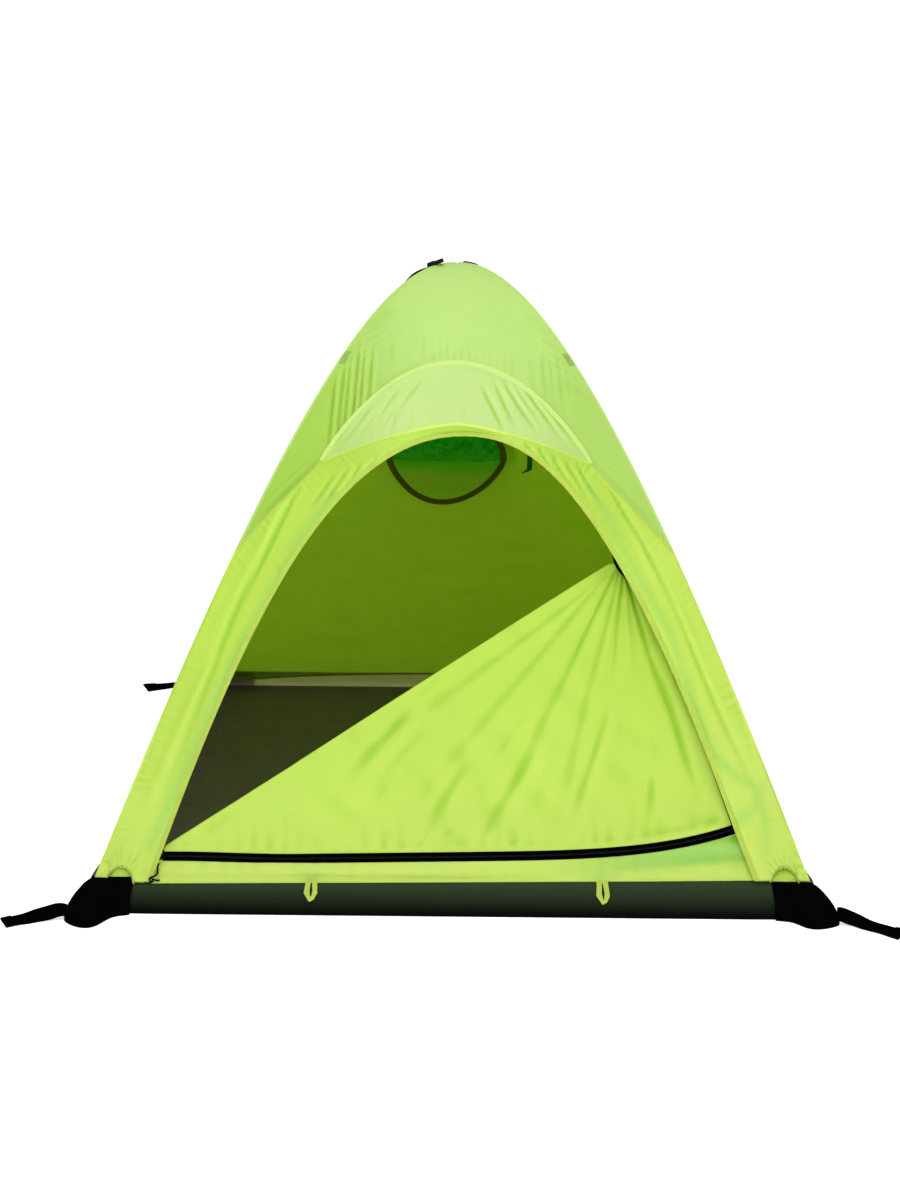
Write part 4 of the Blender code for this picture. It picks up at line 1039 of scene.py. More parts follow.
def make_canopy():
    head_x, head_z = head_line()
    head_share = share_at(head_z)
    part = column(1.0, 0.0, 92)
    across = lerp(np.clip(head_x / (HALF_WIDTH * head_share), -1, 1), row(-1.0, 1.0, len(head_x)), part)
    share = lerp(head_share, APEX_SHARE, part)
    points = wall("front", across, share)
    x, z = points[..., 0], points[..., 2]
    edge = (1 - np.abs(across)) * HALF_WIDTH * share
    push = waves(x, z, 41, 0.0012, (0.20, 0.5))
    for i in range(6):
        start = (-0.222 + 0.0125 * i + 0.003 * (i % 2), 0.925 - 0.008 * (i % 3))
        end = (start[0] - 0.012, 0.660 + 0.016 * ((i * 5) % 4))
        fold = (start, end, 0.0027 + 0.0006 * (i % 3), -0.0036 + 0.0003 * i)
        push = push + crease(x, z, *fold, narrow=0.6, fade=0.2)
        push = push + crease(x, z, *shifted(fold, (0.007, 0.0), 0.0036, 0.0014), fade=0.3)
    for i in range(5):
        start = (0.216 - 0.014 * i, 0.900 - 0.010 * (i % 2))
        push = push + crease(x, z, start, (start[0] + 0.006, 0.80), 0.0045, -0.0013, fade=0.4)
    for i in range(12):
        start = (-0.045 + 0.0135 * i, visor_arc(-0.045 + 0.0135 * i) + 0.002)
        end = np.add(start, (0.002, 0.030 + 0.012 * ((i * 7) % 3)))
        push = push + crease(x, z, start, end, 0.0030, -0.0011, fade=0.8, begin=0.02)
    slants = [
        ((0.130, 0.985), (0.205, 0.880), 0.016, -0.0030),
        ((-0.120, 0.990), (-0.185, 0.905), 0.016, -0.0030),
    ]
    push = push + creases(x, z, slants, fade=0.5)
    for kink in ((-0.238, 0.868), (0.245, 0.862)):
        push = push + 0.0045 * bell(x, kink[0], 0.03) * bell(z, kink[1], 0.022)
    push = push + puckers(cloth_uv(points)[..., 1], edge, 43, 0.021, 0.0012, 0.03)
    push = push + wrinkles(x, z, 44, 26, ((-0.26, 0.26), (0.80, 0.98)), (0.0, 1.9), (0.04, 0.10), 0.0009)
    push = push * smooth(edge, 0.004, 0.040) * smooth(part * (HEIGHT - head_z), 0.0, 0.008)
    # Painted shade: the canopy darkens and turns greener towards both sides, where it curves away from the
    # light, more on the left and below its upper part. Its folds get painted shade and their crests painted
    # highlight.
    sides = smooth(-x, 0.04, 0.26) + 0.60 * smooth(x, 0.04, 0.28)
    masks = {"cool": sides * (0.75 + 0.25 * smooth(-z, -0.95, -0.80)), "fold": fold_shade(push, 0.0011)}
    panel("front_canopy_cloth", points, LIME_WITH_PAINTED_SHEEN, "front_canopy", rests_on=POLES, push=push, masks=masks)


VISOR_FOLDS = [
    ((0.044, 0.838), (0.092, 0.742), -0.0026), ((0.066, 0.846), (0.112, 0.752), -0.0020),
    ((0.084, 0.845), (0.150, 0.745), -0.0034), ((0.104, 0.838), (0.160, 0.752), -0.0018),
    ((0.122, 0.833), (0.200, 0.728), -0.0034), ((0.146, 0.812), (0.235, 0.719), -0.0026),
    ((0.175, 0.782), (0.240, 0.706), -0.0018), ((-0.060, 0.845), (-0.115, 0.775), -0.0012),
    ((-0.100, 0.830), (-0.160, 0.750), -0.0012), ((-0.150, 0.800), (-0.215, 0.718), -0.0016),
]


def make_visor():
    x = (VISOR_HALF_WIDTH - 0.0015) * np.sin(column(-QUARTER, QUARTER, 190))
    part = row(0.0, 1.0, 60)
    x, z = np.broadcast_arrays(x, lerp(visor_arc(x), brim_height(x), part))
    points = end_wall("front", x, z, brim_reach(x) * part + 0.0012)
    push = waves(x, z, 51, 0.0014, (0.15, 0.4))
    for start, end, height in VISOR_FOLDS:
        push = push + crease(x, z, start, end, 0.0052, height, narrow=0.6, fade=0.35)
        beside = ((start[0] + 0.009, start[1]), (end[0] + 0.010, end[1]))
        push = push + crease(x, z, *beside, 0.0052, -0.45 * height, fade=0.3)
    push = push * smooth(part, 0.0, 0.06) * smooth(VISOR_HALF_WIDTH - np.abs(x), 0.0, 0.03)
    push = push + wrinkles(x, z, 54, 16, ((-0.20, 0.22), (0.74, 0.83)), (0.0, 1.0), (0.03, 0.07), 0.0010)
    # Painted shade: the visor darkens towards both ends, and its folds get painted shade and their crests
    # painted highlight. The even warm share is the visor's colour.
    masks = {"warm": 0.6, "cool": 0.30 * smooth(np.abs(x), 0.12, 0.25), "fold": fold_shade(push, 0.0012)}
    uv = np.stack([x, z * 1.4], -1)
    panel("visor_top_cloth", points, VISOR_LIME_PAINTED_SHEEN, "visor_top", push=push, uv=uv, masks=masks)


def skin_lines(widening):
    """Outer edge and free edge of the skin, row by row, from the left foot over to the right foot."""
    leg_z = np.linspace(SKIN_FOOT_HEIGHT, SEAM_FOOT_HEIGHT, 101)[:-1]
    leg_x = -HALF_WIDTH * share_at(leg_z)
    seam_x, seam_z = left_seam(51)
    brim_x = VISOR_HALF_WIDTH * np.sin(np.linspace(-QUARTER, QUARTER, 151))
    x = np.concatenate([leg_x, seam_x, brim_x, -seam_x[::-1], -leg_x[::-1]])
    z = np.concatenate([leg_z, seam_z, brim_height(brim_x), seam_z[::-1], leg_z[::-1]])
    none = np.zeros(len(leg_x) + len(seam_x))
    free_x, free_z = offset_line(*arch_line(OPENING_HALF_WIDTH, OPENING_HEIGHT, arch_angle(x, z)), widening)
    free_z[[0, -1]] = SKIN_FOOT_HEIGHT
    free_x = free_x + OPENING_LEAN * np.clip(free_z / OPENING_HEIGHT, 0, 1) ** 8
    return (x, z, np.concatenate([none, brim_reach(brim_x), none])), (free_x, free_z, stand_off(free_z))


ARCH_MIDDLE, ARCH_HALF, ARCH_RISE = 0.539, 0.021, 0.019


def skin_points(first, second, across):
    """Places of the skin between its two edges. Its feet are lifted by a gathered elastic."""
    x, z, reach = (lerp(a[:, None], b[:, None], across) for a, b in zip(first, second))
    arch = ARCH_RISE * np.clip(1 - ((np.abs(x) - ARCH_MIDDLE) / ARCH_HALF) ** 2, 0.0, 1.0) ** 0.6
    z = z + (arch + 0.008 * smooth(x, 0.3, 0.5)) * (1 - smooth(z, SKIN_FOOT_HEIGHT, 0.13))
    return x, z, np.maximum(reach, tub_clearance(x, z, 0.0068)) + LAYER


# Painted shadows on the skin: soft darker lines where parts behind it show through the thin cloth.
SHADOW_STREAK_LEFT = [(-0.215, 0.640), (-0.262, 0.580), (-0.310, 0.495), (-0.360, 0.400), (-0.428, 0.250),
               (-0.492, 0.095)]
SHADOW_STREAK_RIGHT = [
    (0.235, 0.665), (0.262, 0.625), (0.296, 0.545), (0.328, 0.491), (0.365, 0.427), (0.383, 0.370),
    (0.397, 0.335), (0.425, 0.245), (0.474, 0.199), (0.508, 0.186), (0.498, 0.155), (0.463, 0.138),
]
SHADOW_STREAK_FOOT = [(0.500, 0.190), (0.512, 0.140), (0.510, 0.090)]
SKIN_FOLDS = [
    ((-0.270, 0.680), (-0.395, 0.400), 0.009, -0.0040), ((-0.300, 0.640), (-0.420, 0.380), 0.010, 0.0030),
    ((-0.325, 0.600), (-0.480, 0.160), 0.010, -0.0034), ((-0.400, 0.400), (-0.525, 0.100), 0.011, 0.0030),
    ((0.265, 0.680), (0.400, 0.420), 0.009, -0.0036), ((0.300, 0.610), (0.375, 0.450), 0.010, 0.0028),
    ((0.375, 0.470), (0.530, 0.110), 0.011, -0.0030), ((0.370, 0.500), (0.505, 0.180), 0.008, 0.0024),
]
# Gathers beside the brim: how many, the first one's start, the step to the next, their run, width and
# depth, and how far beside each its ridge stands, and how high.
BRIM_GATHERS = [
    (6, (-0.085, 0.735), (-0.026, -0.011), (-0.048, -0.072), 0.0050, -0.0026, 0.011, 0.0010),
    (5, (0.118, 0.742), (0.024, -0.010), (0.050, -0.078), 0.0052, -0.0032, -0.012, 0.0011),
]


def skin_relief(x, z):
    push = waves(x, z, 61, 0.0012, (0.15, 0.45)) + creases(x, z, SKIN_FOLDS, narrow=0.5, fade=0.3)
    for number, first, step, run, width, depth, beside, rise in BRIM_GATHERS:
        for i in range(number):
            start = np.add(first, np.multiply(step, i))
            fold = (start, start + run, width, depth)
            push = push + crease(x, z, *fold, narrow=0.8, fade=0.3)
            push = push + crease(x, z, *shifted(fold, (beside, 0.0), 0.005, rise), fade=0.3)
    for hand in (-1, 1):
        for i, angle in enumerate(np.radians((150, 132, 114, 98, 84, 70, 54, 38))):
            way = np.array((hand * math.cos(angle), math.sin(angle)))
            start = np.array((hand * ARCH_MIDDLE, 0.050)) + way * 0.020
            fold = (start, start + way * (0.017 + 0.007 * ((i * 2) % 3)), 0.0028, -0.0013)
            beside = (0.0045 * math.sin(angle), -0.0045 * hand * math.cos(angle))
            push = push + crease(x, z, *fold, narrow=0.7, fade=0.7, begin=0.02)
            push = push + crease(x, z, *shifted(fold, beside, 0.0032, 0.0010), narrow=0.7, fade=0.6,
                                 begin=0.02)
    for hand in (-1, 1):
        spread = sorted((hand * 0.30, hand * 0.54)), (0.10, 0.60)
        push = push + wrinkles(x, z, 65 + hand, 22, spread, (hand * 0.16, 1.0), (0.05, 0.14), 0.0011)
    return push


def make_skin():
    first, second = skin_lines(HEM_WIDTH)
    across = row(0.0, 1.0, 42)
    x, z, reach = skin_points(first, second, across)
    points = end_wall("front", x, z, reach)
    push = skin_relief(x, z)
    along = path_length(*first[:2])[:, None] + 0 * across
    width = np.hypot(first[0] - second[0], first[1] - second[1])[:, None]
    push = push + puckers(along, across * width, 62, 0.013, 0.0009, 0.02)
    push = push + puckers(along, (1 - across) * width, 63, 0.017, 0.0005, 0.02)
    push = push * smooth(np.minimum(across, 1 - across) * width, 0.0, 0.006)
    # Painted shade: the show-through shadows, and the crescent under the brim, darker in the brim's shade.
    # Painted light: the warm mask lightens the skin low down and on the right below its middle. Folds get
    # painted shade and their crests painted highlight.
    shadow_streaks = ((SHADOW_STREAK_LEFT, 0.0115, 0.55), (SHADOW_STREAK_RIGHT, 0.0095, 0.45), (SHADOW_STREAK_FOOT, 0.010, 0.35))
    crescent = smooth(z, 0.66, 0.72)
    shades = [trace(x, z, line, wide) * share for line, wide, share in shadow_streaks]
    cool = np.maximum.reduce([*shades, 0.16 * crescent])
    pale = lerp(0.75, 0.15, smooth(z, 0.10, 0.45)) + 0.45 * smooth(x, 0.2, 0.3) * (1 - smooth(z, 0.5, 0.6))
    masks = {"cool": cool, "warm": np.clip(lerp(pale, 0.10, crescent), 0, 1),
             "fold": fold_shade(push, 0.0013)}
    uv = np.stack([x, z * 1.2], -1)
    panel("front_skin_cloth", points, SMOOTH_LIME, "front_skin", push=push, uv=uv, masks=masks)
    make_hem(stitch_line(points, 40))
    make_foot_elastic(points)


def make_hem(hem_side):
    """Folded binding of the skin's free edge, with a stitch row on each side."""
    inner, outer = skin_lines(0.0)[1], skin_lines(HEM_WIDTH)[1]
    across = row(0.0, 1.0, 9)
    x, z, reach = skin_points(outer, inner, across)
    points = end_wall("front", x, z, reach + 0.0006)
    path = path_length(*inner[:2])[:, None]
    crown = 0.0009 * (1 - (2 * across - 1) ** 4)
    crown = crown + 0.0003 * np.sin(path * TURN / 0.021 + 2 * np.sin(path * 40))
    uv = np.stack(np.broadcast_arrays(across * HEM_WIDTH, path), -1)
    made = cloth("opening_hem_binding", points, HEM_TAPE, crown, thickness=0.0022, uv=uv)
    keep(made, "hem_tape", "opening_hem")
    stitches("hem_stitches", stitch_line(points, 4, 0.0010), hem_side)


def make_foot_elastic(points):
    """Gathered elastic edges that lift the skin's two feet."""
    angles = np.linspace(0.0, TURN, 9)[:-1]
    ring = np.stack([np.cos(angles) * 0.3, np.cos(angles) * 0.7, np.sin(angles)], -1)
    for name, foot in (("left", points[0]), ("right", points[-1])):
        inside = np.abs(np.abs(foot[:, 0]) - ARCH_MIDDLE) < ARCH_HALF + 0.004
        route = foot[inside] + np.array((0.0, -0.0010, -0.0010))
        fine = np.linspace(0.0, path_length(*route.T)[-1], 110)
        route = np.stack(even_steps(110, *route.T), -1)
        radius = 0.0028 + 0.0010 * np.sin(fine * TURN / 0.0068)[:, None]
        tube = route[:, None, :] + ring[None, :, :] * radius[..., None]
        keep(tube_mesh(f"skin_foot_elastic_{name}", tube, HEM_TAPE, 0.02), "hem_tape")


def tube_mesh(name, rings, material, uv_turn):
    """Closed tube through rings of points, with capped ends."""
    rows, sides = rings.shape[:2]
    ids = np.arange(rows * sides).reshape(rows, sides)
    faces = quads(np.hstack([ids, ids[:, :1]])).tolist() + [ids[0, ::-1].tolist(), ids[-1].tolist()]
    mesh = new_mesh(name, rings.reshape(-1, 3), faces)
    face_out(mesh)
    corners = np.array([corner.vertex_index for corner in mesh.loops])
    path = path_length(*rings.mean(axis=1).T)
    uv = np.stack([corners % sides / sides * uv_turn, path[corners // sides]], -1)
    mesh.uv_layers.new(name="cloth").data.foreach_set("uv", uv.astype(np.float32).ravel())
    mesh.shade_smooth()
    return add_piece(name, mesh, material)


# The door end's inner layer.

def make_inner_wall():
    leg_z = np.linspace(PANEL_FOOT, SEAM_FOOT_HEIGHT, 81)[:-1]
    leg_x = -HALF_WIDTH * share_at(leg_z)
    head_x, head_z = head_line()
    x = np.concatenate([leg_x, head_x, -leg_x[::-1]])
    z = np.concatenate([leg_z, head_z, leg_z[::-1]])
    zip_x, zip_z = offset_line(*arch_line(ZIP_HALF_WIDTH, ZIP_HEIGHT, arch_angle(x, z)), ZIP_TAPE / 2)
    zip_z[[0, -1]] = PANEL_FOOT
    across = row(0.0, 1.0, 22)
    x, z = lerp(x[:, None], zip_x[:, None], across), lerp(z[:, None], zip_z[:, None], across)
    z = z + 0.0075 * smooth(x, 0.3, 0.5) * (1 - smooth(z, PANEL_FOOT, 0.10))
    points = end_wall("front", x, z, tub_clearance(x, z, 0.0040))
    push = waves(x, z, 71, 0.0012, (0.12, 0.4)) * smooth(np.minimum(across, 1 - across), 0.0, 0.2)
    uv = np.stack([x, z * 1.2], -1)
    panel("inner_front_wall_cloth", points, SMOOTH_LIME, "inner_front_wall", push=push, uv=uv)


def door_edges(steps):
    """The door's zipped edge, from its left end along the bottom and up its right side, and its fold."""
    low_x = np.linspace(ZIP_START_X, ZIP_END_X - ZIP_TAPE / 2, 120)
    side_z = np.linspace(ZIP_END_HEIGHT + LOWER_ZIP_TAPE / 2, FOLD_TOP_HEIGHT, 80)[1:]
    x = np.concatenate([low_x, zip_reach(side_z) - ZIP_TAPE / 2])
    x, z = even_steps(steps, x, np.concatenate([lower_zip_height(low_x) + LOWER_ZIP_TAPE / 2, side_z]))
    share = np.linspace(0.0, 1.0, steps)
    return (x, z), (lerp(x[0] + 0.001, x[-1] - 0.006, share), lerp(z[0] + 0.004, z[-1] - 0.001, share))


DOOR_PLEATS = [
    ((0.286, 0.526), (0.040, 0.070), 0.013, -0.0040), ((0.280, 0.524), (-0.110, 0.100), 0.014, -0.0034),
    ((0.290, 0.522), (0.150, 0.060), 0.012, -0.0034), ((0.270, 0.508), (-0.240, 0.160), 0.014, -0.0030),
    ((0.290, 0.530), (0.148, 0.403), 0.007, 0.0034), ((0.290, 0.528), (0.180, 0.326), 0.006, -0.0040),
    ((0.292, 0.526), (0.202, 0.360), 0.006, 0.0036), ((0.292, 0.524), (0.226, 0.400), 0.006, -0.0044),
    ((0.294, 0.522), (0.249, 0.342), 0.006, 0.0044), ((0.296, 0.520), (0.268, 0.330), 0.006, -0.0050),
    ((0.298, 0.516), (0.300, 0.330), 0.007, 0.0044), ((0.299, 0.508), (0.372, 0.260), 0.009, -0.0100),
    ((0.318, 0.500), (0.390, 0.330), 0.009, 0.0060),
]
DOOR_SLANTS = [
    ((0.340, 0.385), (0.414, 0.150), 0.010, -0.0100), ((0.264, 0.300), (0.186, 0.105), 0.008, -0.0050),
    ((0.276, 0.310), (0.206, 0.120), 0.012, 0.0034), ((0.332, 0.210), (0.322, 0.125), 0.007, -0.0040),
    ((-0.058, 0.308), (-0.205, 0.158), 0.013, -0.0050), ((-0.030, 0.312), (-0.185, 0.150), 0.016, 0.0040),
    ((0.027, 0.219), (-0.054, 0.101), 0.012, -0.0050), ((0.145, 0.250), (0.030, 0.075), 0.010, -0.0030),
    ((0.168, 0.250), (0.066, 0.095), 0.014, 0.0030), ((-0.440, 0.100), (-0.300, 0.160), 0.010, -0.0044),
    ((-0.450, 0.092), (-0.330, 0.120), 0.008, 0.0034),
]


def door_relief(x, z):
    """Pleats that run from the fold's top, soft diagonals, and puckers along the lower zip."""
    relief = waves(x, z, 81, 0.0020, (0.18, 0.45)) + waves(x, z, 82, 0.0004, (0.05, 0.11), (0.3, 1.2))
    relief = relief + 0.62 * creases(x, z, DOOR_PLEATS, narrow=0.25, fade=0.5, begin=0.01)
    relief = relief + 0.62 * creases(x, z, DOOR_SLANTS, narrow=0.7, fade=0.5, begin=0.35)
    top = (0.300, 0.560)
    relief = relief + wrinkles(x, z, 84, 40, ((-0.32, 0.40), (0.14, 0.42)), top, (0.06, 0.16), 0.0009)
    relief = relief + wrinkles(x, z, 86, 30, ((-0.44, 0.42), (0.10, 0.15)), top, (0.020, 0.045), 0.0010)
    above = z - lower_zip_height(x) - LOWER_ZIP_TAPE / 2
    return (relief + puckers(x, above, 83, 0.027, 0.0020, 0.016)) * smooth(above, 0.0, 0.012)


def make_door():
    """One sheet: the zipped part in front, the fold, and the loose part hanging behind it."""
    edge, fold = np.array(door_edges(216))
    run = np.hypot(*(fold - edge))
    way = (fold - edge) / run
    front = [(lerp(fold, edge, part), 0.0) for part in np.linspace(1.0, 0.0, 104)]
    turns = np.linspace(0.0, HALF_TURN, 7)[1:-1]
    rolled = [(fold + way * ROLL * math.sin(turn), ROLL * (1 - math.cos(turn))) for turn in turns]
    hanging = np.linspace(0.0, 1.0, 26)
    loose = [(lerp(fold, edge, FLAP_SHARE * part), 2 * ROLL + FLAP_LEAN * part) for part in hanging]
    places, depths = zip(*front, *rolled, *loose)
    x, z = np.stack(places, -1)
    depth = np.array(depths)[None, :] + 0 * x
    behind = waves(x, z, 85, 0.003, (0.10, 0.30)) * smooth(depth, 2 * ROLL, 2 * ROLL + FLAP_LEAN)
    held = smooth(row(0.0, 1.0, x.shape[1]), 0.0, 0.03) * (0.4 + 0.6 * smooth(run, 0.0, 0.05)[:, None])
    relief = door_relief(x, z) * held
    points = end_wall("front", x, z, relief - depth - behind + 0.0004)
    outward = faces_outward(points[:, :len(front)])
    uv = np.stack([x, np.where(depth > ROLL, 0.3 - z, z) * 1.2], -1)
    # Painted light: the door turns lighter and warmer towards its foot. Its folds get painted shade and their
    # crests painted highlight.
    masks = {"warm": lerp(0.55, 0.0, smooth(z, 0.10, 0.42)), "fold": fold_shade(relief, 0.0017, 40)}
    panel("door_cloth", points, LIME_CLOTH, "door_panel", "door_folded_flap", held="folded", uv=uv,
          masks=masks, flip=not outward)
    normal = grid_normals(points) * (1 if outward else -1)
    lines = [(points[6:-6, place] + normal[6:-6, place] * 0.0002, normal[6:-6, place]) for place in (2, -3)]
    stitches("door_stitches", *lines, slot="lime_cloth")


def make_sill():
    """The strip between the tub and the lower zip. Its foot hangs over the tub's top edge."""
    part = row(0.0, 1.0, 26)
    half = float(zip_reach(LOWER_ZIP_HEIGHT)) + ZIP_TAPE / 2 - 0.0006
    x = column(-1.0, 1.0, 260) * half + 0 * part
    top = lower_zip_height(np.clip(x, None, ZIP_END_X)) - LOWER_ZIP_TAPE / 2 + 0.0012
    foot = SILL_FOOT + SILL_SLOPE * x
    z = lerp(top, foot, part)
    relief = waves(x, z * 5, 91, 0.0012, (0.10, 0.30), (1.2, 1.9))
    relief = relief + puckers(x, part * 0.03, 92, 0.031, 0.0006, 0.02)
    relief = relief * smooth(np.minimum(part, 1 - part), 0.0, 0.15)
    points = end_wall("front", x, z, relief + tub_clearance(x, z, 0.0035))
    # Painted shade: the sill turns darker and greener in its upper right and around the top of each ribbon
    # loop; elsewhere it takes the warm lime. Its folds get painted shade and their crests painted highlight.
    right = smooth(x, 0.10, 0.40)
    cool = 0.85 * right * (1 - smooth(part, 0.50, 0.7))
    for loop_x in LOOPS.values():
        cool = np.maximum(cool, 0.5 * bell(x, loop_x, 0.024) * bell(z, foot + 0.006, 0.009))
    warm = 1.0 - 0.8 * right * (1 - smooth(part, 0.45, 0.7))
    masks = {"warm": warm, "cool": cool, "fold": fold_shade(relief, 0.0016)}
    panel("door_sill_cloth", points, LIME_CLOTH, "door_sill", uv=np.stack([x, z * 1.2], -1), masks=masks)
    stitches("door_sill_stitches", stitch_line(points, 24), slot="lime_cloth")


def make_zip(part, x, z, first, last):
    """Zip tape with the coil along its line."""
    name = f"door_zip_{part}_tape"
    made = cloth(name, front_band(x, z, first, last, 0.0008), BLACK_TAPE, thickness=0.0009)
    keep(made, "black_trim", f"door_zip_{part}")
    near = front_band(x, z, 0.0008, -0.0008, 0.0014, 3)
    grow(f"{name}_coil", *stitch_line(near, 1), STITCH, ZIP_COIL, "black_trim", **COIL_SIZES)


def make_zips():
    half, low_half = ZIP_TAPE / 2, LOWER_ZIP_TAPE / 2
    x = np.linspace(ZIP_START_X, ZIP_END_X, 260)
    make_zip("lower", x, lower_zip_height(x), low_half, -low_half)
    z = np.linspace(FOLD_TOP_HEIGHT, ZIP_END_HEIGHT + low_half + 0.001, 160)
    make_zip("right", zip_reach(z), z, half, -half)
    x, z = arch_line(ZIP_HALF_WIDTH, ZIP_HEIGHT, np.linspace(-QUARTER, QUARTER, 2401))
    kept = np.where(x < 0, z > LOWER_ZIP_HEIGHT + 0.012, z > FOLD_TOP_HEIGHT)
    x, z = even_steps(500, x[kept], z[kept])
    make_zip("open", x - np.where(x > 0, zip_pull(z), 0.0), z, half,
             -half * (x > 0) * smooth(-z, -0.58, -0.55))


# Small solid fittings.

def seat_on(side, across, share):
    """A place on a panel's outside, with its directions across, down the slope, and outwards."""
    step = 0.002
    place = wall(side, across, share)
    along = unit(wall(side, across + step, share) - wall(side, across - step, share))
    down = wall(side, across, share + step) - wall(side, across, share - step)
    out = unit(np.cross(along, down))
    out = out if out @ (place - INSIDE) > 0 else -out
    return place, along, np.cross(out, along), out


BLOCK_POWER, BLOCK_RINGS, BLOCK_SIDES = 0.35, 12, 24


def soft(value):
    return np.sign(value) * np.abs(value) ** BLOCK_POWER


def pillow(size, turn=0.0, shift=(0.0, 0.0, 0.0)):
    """Block with rounded edges as (points, faces), about its own middle, turned in its own plane."""
    up = np.linspace(-QUARTER, QUARTER, BLOCK_RINGS)[1:-1, None]
    around = np.linspace(0.0, TURN, BLOCK_SIDES, endpoint=False)
    level, height = soft(np.cos(up)), soft(np.sin(up))
    body = np.broadcast_arrays(level * soft(np.cos(around)), level * soft(np.sin(around)), height)
    points = np.vstack([np.stack(body, -1).reshape(-1, 3), [[0, 0, -1], [0, 0, 1]]]) * (np.array(size) / 2)
    points = points @ np.array(Matrix.Rotation(-turn, 3, "Z")) + np.array(shift)
    low = len(points) - 2
    ids = np.arange(low).reshape(-1, BLOCK_SIDES)
    ids = np.hstack([ids, ids[:, :1]])
    caps = [[low, b, a] for a, b in zip(ids[0].tolist(), ids[0, 1:].tolist())]
    caps += [[low + 1, a, b] for a, b in zip(ids[-1].tolist(), ids[-1, 1:].tolist())]
    return points, quads(ids).tolist() + caps


def fitting(name, parts, seat, *nodes, lift=0.0):
    """Joins rounded blocks and sets them on a seat."""
    place, *ways = seat
    points, faces = [], []
    for part_points, part_faces in parts:
        start = sum(map(len, points))
        points.append(part_points)
        faces += [[index + start for index in face] for face in part_faces]
    turned = place + (np.vstack(points) + (0.0, 0.0, lift)) @ np.array(ways)
    mesh = new_mesh(name, turned, faces)
    face_out(mesh, 50)
    return keep(add_piece(name, mesh, BLACK_PLASTIC), "black_plastic", *nodes)


SLIDERS = {"upper": (0.3060, 0.5200, -0.45), "lower": (-0.4780, 0.0740, 1.57)}
# Body, bridge and pull tab: size and place.
SLIDER_BLOCKS = [
    ((0.0085, 0.0105, 0.0030), (0.0, 0.0, 0.0)),
    ((0.0022, 0.0080, 0.0016), (0.0, 0.0, 0.0022)),
    ((0.0052, 0.0120, 0.0012), (0.0006, 0.0085, 0.0028)),
]


def make_sliders():
    for name, (x, z, turn) in SLIDERS.items():
        share = float(share_at(z))
        place, along, down, out = seat_on("front", x / (HALF_WIDTH * share), share)
        blocks = [pillow(size, turn, shift) for size, shift in SLIDER_BLOCKS]
        seat = place + out * 0.0030, along, down, out
        fitting(f"zip_slider_{name}_body", blocks, seat, f"zip_slider_{name}")


# The vent in the rear wall.

# Net and cloth: way up or down, finish, slot, thickness, depth, start, and the reach and strength of the
# cool shade along the line between them.
VENT_HALVES = {
    "mesh": (1, NET, "vent_net", 0.0005, 0.0014, -0.004, 0.03, 0.7),
    "panel": (-1, VENT_CLOTH, "lime_cloth", THIN, 0.0004, 0.0, 0.060, 1.0),
}


def make_vent():
    inside, outside = VENT_RADIUS - VENT_RING / 2, VENT_RADIUS + VENT_RING / 2
    turn, radius = column(0.0, TURN, 181)[:-1], row(outside, inside, 7)
    ring = on_rear_wall(*vent_rim(turn, radius), 0.0030)
    uv = np.stack(np.broadcast_arrays(radius, turn * VENT_RADIUS), -1)
    tape = cloth("vent_zip_ring_tape", ring, VENT_TAPE, thickness=0.0014, uv=uv, closed=True,
                 flip=faces_outward(ring, True))
    keep(tape, "black_trim", "vent_zip_ring")
    middle = on_rear_wall(*vent_rim(np.linspace(0.0, TURN, 241), VENT_RADIUS), 0.0034)
    facing = np.tile(VENT_IN, (len(middle), 1))
    grow("vent_zip_coil", middle, facing, STITCH, VENT_TAPE, "black_trim", **VENT_COIL_SIZES)
    turn, part = column(0.02, HALF_TURN - 0.02, 90), row(0.0, 1.0, 40)
    for name, (way, material, slot, thick, depth, start, reach, strength) in VENT_HALVES.items():
        x, rise = vent_rim(way * turn, inside + 0.002)
        x, up_wall = x + 0 * part, lerp(start, rise, part)
        held = smooth(np.minimum(part, 1 - part), 0.0, 0.2)
        relief = waves(x, up_wall, 101 + way, 0.0016, (0.05, 0.16)) * held
        points = on_rear_wall(x, up_wall, relief + depth)
        cool = strength * (1 - smooth(np.abs(up_wall), 0.0, reach))
        # On the cloth half the fold mask gives painted shade in folds and painted highlight on their crests;
        # the net does not read it.
        masks = {"cool": cool, "fold": 0.5 * fold_shade(relief, 0.002)}
        panel(f"vent_{name}_cloth", points, material, f"vent_{name}", slot=slot, thickness=thick,
              uv=np.stack([x, up_wall], -1), masks=masks)


def make_vent_hood():
    """Small rain hood over the vent, outside the rear wall: sewn on above, open below."""
    half_width = VENT_RADIUS + HOOD_MARGIN
    part, down = column(-1.0, 1.0, 121), row(0.0, 1.0, 50)
    x = half_width * np.sin(QUARTER * part * 0.97) + 0 * down
    sewn = 0.005 + HOOD_RISE * np.clip(1 - (x / half_width) ** 2, 0.0, 1.0) ** 0.6
    up_wall = lerp(sewn, HOOD_BRIM_LOW + HOOD_BRIM_RISE * (1 - part**2), down)
    starts = [-0.12 + 0.03 * i for i in range(9)]
    folds = [((start, 0.02), (start * 0.8, 0.13), 0.007, -0.0012) for start in starts]
    relief = waves(x, up_wall, 111, 0.0012, (0.06, 0.2)) + creases(x, up_wall, folds, fade=0.6)
    relief = relief * smooth(np.minimum(down, 1 - down), 0.0, 0.1)
    points = on_rear_wall(x, up_wall, -LAYER - relief, HOOD_REACH * (1 - part**2) * down)
    panel("vent_hood_cloth", points, LIME_CLOTH, "vent_hood", uv=np.stack([x, up_wall * 1.2], -1))
    stitches("vent_hood_stitches", stitch_line(points, 2), stitch_line(points, 47), slot="lime_cloth")


